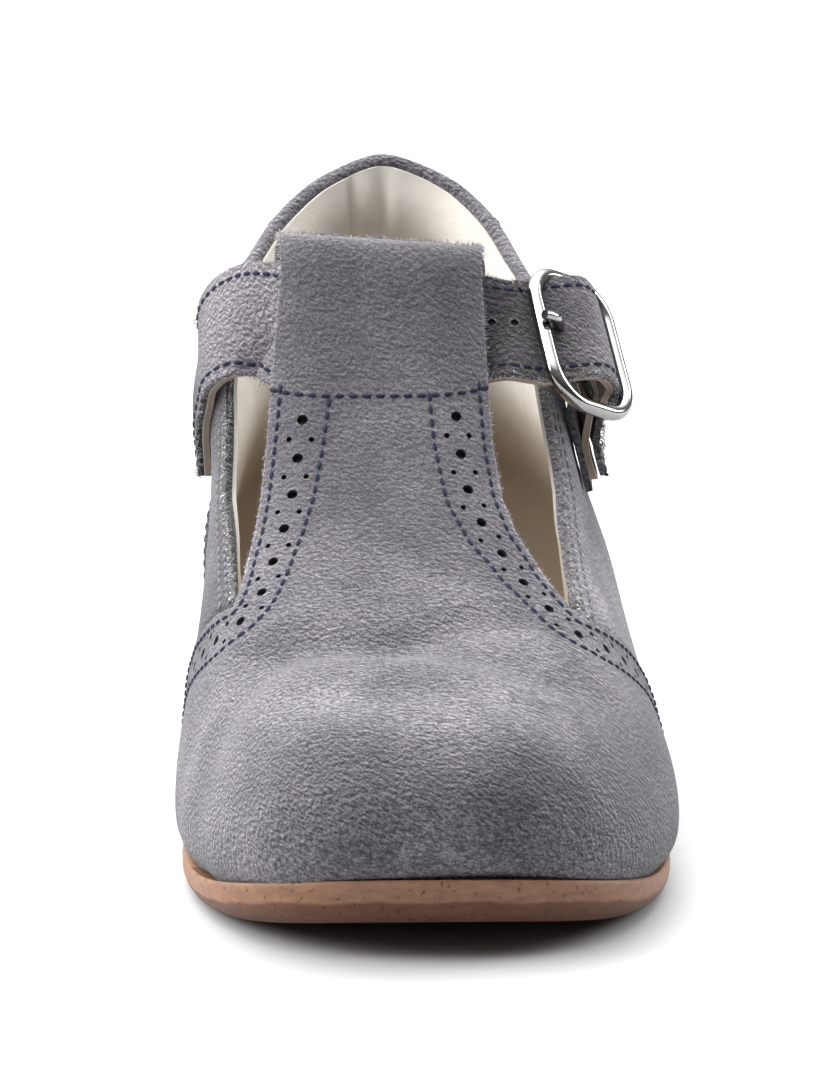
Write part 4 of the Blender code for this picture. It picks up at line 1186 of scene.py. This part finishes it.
# %% Build up the heel
HEEL_BREAST, HEEL_BREAST_HOLLOW, HEEL_CENTRE, BREAST_SHARE = 97.0, 4.0, (0.0, 116.0), 0.125
HEEL_PROFILE = table(
    "up keep spread z",
    (0.00, 0.0, -1.5, 0.0), (0.30, 1.0, -1.5, 0.0), (0.36, 1.0, -0.9, 0.12), (0.42, 1.0, -0.4, 0.55),
    (0.48, 1.0, -0.1, 1.3), (0.66, 1.0, 0.40, 7.2), (0.70, 1.0, 0.25, 7.52), (1.00, 0.0, 0.25, 7.52),
)


def place_heel(across, up):
    keep, spread, z = (read_off(HEEL_PROFILE, "up", up, name) for name in ("keep", "spread", "z"))
    turn = np.linspace(0.0, math.pi, 400)
    breast_turn = float(np.interp(HEEL_BREAST, sole_outline(0.0, turn)[:, 1], turn))
    round_share = np.clip((across - BREAST_SHARE) / (1 - 2 * BREAST_SHARE), 0, 1)
    edge = sole_outline(spread, breast_turn + round_share * (2 * math.pi - 2 * breast_turn))
    from_middle = np.where(across < 0.5, across, 1 - across) / BREAST_SHARE
    breast = np.clip(from_middle, 0, 1)
    reach = sole_outline(spread, np.where(across < 0.5, breast_turn, -breast_turn))
    hollow = HEEL_BREAST + HEEL_BREAST_HOLLOW * (1 - breast**2) - 0.5 * spread
    flat = np.column_stack([reach[:, 0] * breast, hollow])
    edge = np.where((from_middle < 1)[:, None], flat, edge)
    return np.column_stack([HEEL_CENTRE + (edge - HEEL_CENTRE) * keep[:, None], z])


heel = lay_sheet("heel", 160, 60, place_heel)
close_seams(heel, 0.02)
print("heel", len(heel.data.vertices), "corners")

# %% [markdown]
# ## Edge finishes of sole and heel
# The sole's edge is waxed brown leather, lighter along its upper half at the toe, and dark round the
# heel. The UV map of the wrapped sheet runs over the edge, so it says how far down the edge a point lies.

# %% Finish the sole and the heel
SOLE_BANDS = (
    (0.50, (0.094, 0.036, 0.019)),
    (0.58, (0.100, 0.039, 0.021)),
    (0.60, (0.200, 0.102, 0.060)),
    (0.72, (0.205, 0.108, 0.065)),
)
STRATA_TONES = (0.25, (0.72, 0.70, 0.68)), (0.7, (1.15, 1.13, 1.1))
PIT_TONES = (0.30, (0.45, 0.42, 0.40)), (0.38, (1.0, 1.0, 1.0))
REAR_BROWN, REAR_START, REAR_END = (0.118, 0.060, 0.040, 1.0), -0.01, 0.03
sole_brown, sole_shader = new_look("sole_brown", 0.5, specular=0.3)
strata = speckle(sole_brown, 700.0, 4.0, 0.6, stretch=(0.6, 0.6, 1.6))
edge_up = add_node(sole_brown, "ShaderNodeSeparateXYZ", {0: place_on(sole_brown, "UV")}).outputs[1]
wavy = sums(sole_brown, "MULTIPLY_ADD", speckle(sole_brown, 120.0, 4.0, 0.6), 0.08, edge_up)
sole_colour = ramp(sole_brown, wavy, *SOLE_BANDS)
for noise, tones in ((strata, STRATA_TONES), (speckle(sole_brown, 1100.0), PIT_TONES)):
    sole_colour = mixed(sole_brown, 1.0, sole_colour, ramp(sole_brown, noise, *tones), "MULTIPLY")
rear = fade(sole_brown, 1, REAR_START, REAR_END)
paint(sole_brown, sole_shader, mixed(sole_brown, rear, sole_colour, REAR_BROWN))
bump(sole_brown, sole_shader, strata, 0.35, 0.25)
hand_over(outsole, sole_brown, "sole_edge", "outsole")

heel_tan, heel_shader = new_look("heel_tan", 0.55)
layers = speckle(heel_tan, 240.0, 4.0, 0.55, stretch=(0.5, 0.5, 2.0))
heel_tones = (0.28, (0.125, 0.066, 0.034)), (0.72, (0.160, 0.090, 0.049))
paint(heel_tan, heel_shader, ramp(heel_tan, layers, *heel_tones))
bump(heel_tan, heel_shader, layers, 0.3, 0.3)
hand_over(heel, heel_tan, "heel_stack", "heel")

# %% [markdown]
# ## Seams
# A stitch is a short thread that dips into the leather at both ends. One is modelled from a ball stretched
# to a grain of rice; every seam copies it along its line. The lines follow the cut edges at a set distance,
# then drop onto the real surface of the sheet that carries them.

# %% Model one stitch and copy it along a line
STITCH_LONG, STITCH_WIDE, STITCH_HIGH, STITCH_PITCH, STITCH_RAISE = 1.20, 0.58, 0.40, 1.56, 0.05


def take_shape():
    """The points and faces of the shape just made, which is then removed."""
    shape = bpy.context.object
    points = np.array([v.co for v in shape.data.vertices])
    faces = [tuple(p.vertices) for p in shape.data.polygons]
    bpy.data.objects.remove(shape)
    return points, faces


def in_order(points, faces):
    """The same shape with its points and faces sorted: Blender's ball lists them differently each run."""
    order = np.lexsort(points.round(4).T)
    rank = np.argsort(order).tolist()
    ranked = [[rank[i] for i in face] for face in faces]
    starts = [face.index(min(face)) for face in ranked]
    return points[order], sorted(tuple(face[s:] + face[:s]) for face, s in zip(ranked, starts))


bpy.ops.mesh.primitive_uv_sphere_add(segments=6, ring_count=5, radius=0.5)
bpy.ops.object.mode_set(mode="EDIT")
bpy.ops.mesh.select_all(action="SELECT")
bpy.ops.transform.rotate(value=math.pi / 2, orient_axis="Y", center_override=(0, 0, 0))
bpy.ops.transform.resize(value=(STITCH_LONG, STITCH_WIDE, STITCH_HIGH))
bpy.ops.object.mode_set(mode="OBJECT")
STITCH = in_order(*take_shape())


def settle(points, carrier):
    """The nearest places on a piece, with its outward directions, in millimetres."""
    tree = BVHTree.FromObject(carrier, bpy.context.evaluated_depsgraph_get())
    found = [tree.find_nearest(Vector(p)) for p in world(points)]
    places = np.array([f[0] for f in found]) / MM + [MIDDLE_X, MIDDLE_ALONG, 0.0]
    return places, np.array([f[1] for f in found])


def place_copies(name, shape, places, headings, outs, sizes=1.0):
    """One mesh that repeats a shape at each place, its x along the heading and its z outwards."""
    points, faces = shape
    asides = unit(np.cross(outs, headings))
    axes = np.stack([np.cross(asides, outs), asides, outs], axis=1)
    sizes = np.broadcast_to(sizes, places.shape)
    corners = places[:, None, :] + np.einsum("npk,nkc->npc", points * sizes[:, None, :], axes)
    mesh = bpy.data.meshes.new(name)
    copies = [tuple(i + n * len(points) for i in face) for n in range(len(places)) for face in faces]
    mesh.from_pydata(world(corners.reshape(-1, 3)).tolist(), [], copies)
    piece = bpy.data.objects.new(name, mesh)
    bpy.context.scene.collection.objects.link(piece)
    return piece


STITCH_COUNTS = []


def sew(name, line, carrier, look=blue_thread):
    count = max(int(length_of(line) / STITCH_PITCH), 3)
    places, outs = settle(spread_evenly(line, count), carrier)
    headings = unit(np.gradient(places, axis=0))
    seam = place_copies(name, STITCH, places + STITCH_RAISE * outs, headings, outs)
    STITCH_COUNTS.append(count)
    hand_over(seam, look, "suede")


print("one stitch has", len(STITCH[1]), "faces")

# %% Lines set in from the vamp's edges
LOOP_FOOT = -8.4


def inset_line(turns, side, high, low, inset, inward=-1.0, lift=0.0):
    """A line set in from one edge of a sheet, from a high level down to a low one."""
    levels = np.linspace(high, low, 500)
    turn = side * np.interp(levels, LEVELS, turns[side])
    edge = np.column_stack([last_point(turn, levels), last_normal(turn, levels)])
    edge = spread_evenly(edge, 400)
    heading = unit(np.gradient(edge[:, :3], axis=0))
    direction = inward * side * np.cross(unit(edge[:, 3:]), heading)
    inset = np.interp(np.linspace(0, 1, 400), np.linspace(0, 1, np.size(inset)), np.ravel(inset))
    return edge[:, :3] + lift * unit(edge[:, 3:]) + inset[:, None] * unit(soften(direction, 9))


FOOT_LEVEL = float(np.interp(LOOP_FOOT, UP_OF_LEVEL, LEVELS))
STRIP_WIDE, STRIP_MIDDLE = (8.5, 8.0, 6.6, 6.4, 6.3, 6.2), (4.8, 4.6, 3.9, 3.8, 3.7, 3.7)
for side in SIDES:
    for edge, inset, start in (("near", 1.3, FOOT_LEVEL), ("far", STRIP_WIDE, FOOT_LEVEL - 0.16)):
        sew(f"vamp_seam_{SIDES[side]}_{edge}", inset_line(VAMP_TURNS, side, start, 0.5, inset), vamp)
sew("loop_seam", on_vamp(np.linspace(-0.94, 0.94, 60), FOOT_LEVEL), vamp)

# %% Punched holes
HOLE_STEP, BIG_HOLE, SMALL_HOLE = 4.9, 0.68, 0.36
ANY_HEADING = (0.31, 0.22, 0.92)
bpy.ops.mesh.primitive_cylinder_add(vertices=14, radius=1.0, depth=1.0)
PUNCH = take_shape()


def strip_holes(line, carrier, apart=1.05):
    """Places of the holes along a strip: a large one, then a pair of small ones, and so on."""
    count = 2 * int(length_of(line) / HOLE_STEP) + 1
    places, outs = settle(spread_evenly(line, count), carrier)
    asides = np.cross(outs, unit(np.gradient(places, axis=0)))
    big = [(places[k], outs[k], BIG_HOLE) for k in range(0, count, 2)]
    small = [
        (places[k] + s * apart * asides[k], outs[k], SMALL_HOLE) for k in range(1, count, 2) for s in (-1, 1)
    ]
    return big + small


def punch_holes(piece, holes, depth):
    """Cuts the holes right through a sheet, their walls near black: painted shade inside each hole."""
    places, outs, radii = (np.array(part) for part in zip(*holes))
    sizes = np.column_stack([radii, radii, np.full(len(holes), depth)])
    cutter = place_copies("punches", PUNCH, places, unit(np.cross(outs, ANY_HEADING)), outs, sizes)
    cutter.data.materials.append(hole_shade_backing)
    how = {"operation": "DIFFERENCE", "solver": "EXACT", "material_mode": "TRANSFER"}
    finish_with(piece, "BOOLEAN", object=cutter, **how)
    bpy.data.objects.remove(cutter)
    print(piece.name, "has", len(holes), "punched holes")


vamp.data.materials.append(grey_suede)
vamp_holes = []
for side in SIDES:
    vamp_holes += strip_holes(inset_line(VAMP_TURNS, side, FOOT_LEVEL - 0.42, 1.2, STRIP_MIDDLE), vamp, 1.4)
punch_holes(vamp, vamp_holes, 2.6)
hand_over(vamp, None, "suede", "upper")
hand_over(quarters, grey_suede, "suede", "upper")

# %% Seams and holes of the counter, the back tab and the quarters
counter.data.materials.append(grey_suede)
counter_holes = []


def counter_line(side, drop, low, inset):
    return inset_line(COUNTER_TURNS, side, COUNTER_TOP_LEVEL - drop, low, inset, inward=1.0, lift=1.2)


for side in SIDES:
    for inset in (0.9, 5.2):
        sew(f"counter_seam_{SIDES[side]}_{int(inset)}", counter_line(side, 0.1, 0.5, inset), counter)
    counter_holes += strip_holes(counter_line(side, 0.4, 0.9, 3.05), counter)
counter_shares = np.linspace(0.02, 0.98, 80)
back_point = 0.20 * bell(counter_shares, 0.5, 0.03)
for row, drop in (("upper", 0.14), ("lower", 0.52)):
    sew(f"counter_top_seam_{row}", on_counter(counter_shares, COUNTER_TOP_LEVEL - drop - back_point), counter)
sew("back_seam", on_counter(0.5, np.linspace(0.35, 1.9, 12)), counter)
punch_holes(counter, counter_holes, 1.6)
hand_over(counter, None, "suede_overlay", "counter")

tab_levels = np.linspace(TAB_FOOT_LEVEL + 0.1, 10.9, 40)
for side in SIDES:
    line = off_last(tab_turn(side * 0.92, tab_levels), tab_levels, 1.0)
    sew(f"tab_seam_{SIDES[side]}", line, back_tab)
hand_over(back_tab, grey_suede, "suede_overlay", "back_tab")

SIDE_SEAM = np.linspace(0.0, -26.0, 30)


def quarter_line(side, below_collar, above_notch, inset):
    high, low = COLLAR_LEVELS[0] - below_collar, NOTCH[side][0] + above_notch
    return inset_line(QUARTER_TURNS, side, high, low, inset, inward=1.0)


for side in SIDES:
    corner = last_point(side * np.interp(COUNTER_TOP_LEVEL, LEVELS, COUNTER_TURNS[side]), COUNTER_TOP_LEVEL)
    seam_turn, seam_level = spot_on_last(side, corner[1] - 1.0 + SIDE_SEAM, np.full(30, corner[2]))
    sew(f"side_seam_{SIDES[side]}", last_point(seam_turn, seam_level), quarters)
    for inset in (1.1, 2.6):
        line = quarter_line(side, 0.15, 0.25, inset)
        sew(f"quarter_edge_seam_{SIDES[side]}_{int(inset)}", line, quarters, grey_thread)
print(len(STITCH_COUNTS), "seams with", sum(STITCH_COUNTS), "stitches")

# %% Seams and holes of the strap
STRAP_HOLES_X, STRAP_HOLE = (10.3, 13.0), 0.50
strap.data.materials.append(strap_suede)
strap_steps = np.linspace(0.01, 0.985, 300)
for share, edge in ((0.80, "rear"), (-0.80, "front")):
    sew(f"strap_seam_{edge}", on_strip(strap_strip, STRAP_WIDTH, share, strap_steps, 0.95), strap)
middle_part = slice(140, 290)
hole_steps = np.interp(STRAP_HOLES_X, strap_run[middle_part, 0], np.linspace(0, 1, 400)[middle_part])
hole_places = on_strip(strap_strip, STRAP_WIDTH, 0.09, hole_steps, 0.9)
hole_outs = row_at(strap_strip[2], hole_steps)
punch_holes(strap, [(place, out, STRAP_HOLE) for place, out in zip(hole_places, hole_outs)], 1.0)
hand_over(strap, None, "suede_strap", "strap")
hand_over(chape, strap_suede, "suede_strap", "buckle_tab")

# %% [markdown]
# ## Loose fibres
# A cut edge of suede is never clean: short fibres stand out of it and catch the light. One fibre is a thin
# three-sided spike. Copies of it stand along the edges of the T-bar, the loop, the strap and the quarters,
# each with its own lean and length from a seeded generator, so every run gives the same shoe.

# %% Fray the cut edges
FIBRE_LONG, FIBRE_WIDE, FIBRE_PITCH, FIBRE_STRAY, FIBRE_BEND = 1.5, 0.17, 0.06, 0.12, 0.55
# The fibres are painted much paler than the suede: a painted highlight for the light they catch.
pale_nap = suede("pale_nap", (0.26, 0.25, 0.255), (0.38, 0.37, 0.37))
bpy.ops.mesh.primitive_cone_add(vertices=3, radius1=FIBRE_WIDE / 2, radius2=0.0, depth=FIBRE_LONG)
FIBRE = take_shape()
chance = np.random.default_rng(11)


def fray(name, line, away, slot):
    count = int(length_of(line) / FIBRE_PITCH)
    spots = spread_evenly(np.hstack([line, np.broadcast_to(away, line.shape)]), count)
    places = spots[:, :3] + chance.normal(0, FIBRE_STRAY, (count, 3))
    outs = unit(spots[:, 3:] + chance.normal(0, FIBRE_BEND, (count, 3)))
    headings = unit(np.cross(outs, chance.normal(0, 1, (count, 3))))
    sizes = chance.uniform(0.35, 1.0, count)[:, None]
    hand_over(place_copies(name, FIBRE, places, headings, outs, sizes), pale_nap, slot)


_, loop_up, loop_forward = loop_axes(0.0)
for side in SIDES:
    levels = np.linspace(NOTCH[side][0], FOLD_LEVEL, 200)
    edge, inside = on_vamp(float(side), levels, -0.3), on_vamp(side * 0.97, levels, -0.6)
    fray(f"bar_fray_{SIDES[side]}", edge, unit(edge - inside), "suede")
    ends = on_fold(np.full(120, float(side)), np.linspace(0, 0.75, 120), 0.4)
    fray(f"loop_fray_{SIDES[side]}", ends, np.array([side * 1.0, 0.0, 0.0]), "suede")
    edge, inside = (quarter_line(side, 0.05, 0.1, inset) for inset in (0.0, 0.8))
    fray(f"quarter_fray_{SIDES[side]}", settle(edge, quarters)[0], unit(edge - inside), "suede")
for k, part in enumerate((0.19, 0.24, 0.29)):
    crest = on_fold(np.linspace(-0.99, 0.99, 120), np.full(120, part), 0.05)
    fray(f"crest_fray_{k}", crest, loop_up + (0.8 - 0.5 * k) * loop_forward, "suede")
strap_steps = np.linspace(0, 0.95, 300)
for share, name in ((-1.0, "front"), (1.0, "rear")):
    edge = on_strip(strap_strip, STRAP_WIDTH, share, strap_steps, 0.55)
    inside = on_strip(strap_strip, STRAP_WIDTH, 0.9 * share, strap_steps, 0.0)
    fray(f"strap_fray_{name}", edge, unit(edge - inside), "suede_strap")

# %% [markdown]
# ## Floor, light and camera
# A plain pale floor and broad soft lights, as in a small studio. The camera stands where the photographer
# stood: a little above the shoe, far back with a long lens, so the toe and the heel keep their sizes. The
# photo shows a pair, so the lens here is longer and turned a little, and the one shoe fills the frame.

# %% Set the floor, the lights and the camera
bpy.ops.mesh.primitive_plane_add(size=30.0, location=(0.0, 0.0, 0.0))
floor = bpy.context.object
floor.name = "floor"
pale_floor, floor_shader = new_look("pale_floor", 0.6)
floor_tones = (0.3, (0.42, 0.42, 0.43)), (0.7, (0.44, 0.44, 0.44))
paint(pale_floor, floor_shader, ramp(pale_floor, speckle(pale_floor, 3.0), *floor_tones))
floor.data.materials.append(pale_floor)

SKY_BRIGHTEST = (-0.22, 0.30, 0.93)
SKY_TONES = ((0.0, 0.10), (0.50, 0.45), (0.80, 4.9), (1.0, 6.5))
studio = bpy.data.worlds.new("studio")
studio.use_nodes = True
sky = studio.node_tree.nodes["Background"]
sky.inputs["Strength"].default_value = 1.0
facing = {0: place_on(studio, "Generated"), 1: SKY_BRIGHTEST}
toward = add_node(studio, "ShaderNodeVectorMath", facing, operation="DOT_PRODUCT").outputs["Value"]
glow = ramp(studio, toward, *((place, (tone, tone, tone * 1.01)) for place, tone in SKY_TONES))
studio.node_tree.links.new(glow, sky.inputs["Color"])
bpy.context.scene.world = studio
bpy.context.scene.view_settings.view_transform = "Standard"

SOFTBOXES = table(
    "name place size power",
    ("left", (-1.00, -0.10, 0.50), 0.5, 12.0),
    ("right", (1.00, 0.30, 0.50), 0.5, 10.0),
)
for box in SOFTBOXES:
    lamp = bpy.data.lights.new(box.name, "AREA")
    lamp.size = box.size
    lamp.energy = box.power
    holder = bpy.data.objects.new(box.name, lamp)
    holder.location = box.place
    holder.rotation_euler = (Vector((0, 0, 0.03)) - Vector(box.place)).to_track_quat("-Z", "Y").to_euler()
    bpy.context.scene.collection.objects.link(holder)

lens = bpy.data.cameras.new("camera")
lens.lens = 342.5
lens.sensor_width = 36.0
lens.clip_start = 0.05
camera = bpy.data.objects.new("camera", lens)
camera.location = (-0.0321, -1.21615, 0.3509)
camera.rotation_euler = (math.radians(75.41), 0.0, math.radians(-1.48))
bpy.context.scene.collection.objects.link(camera)
bpy.context.scene.camera = camera
print("camera", np.round(camera.location, 4))
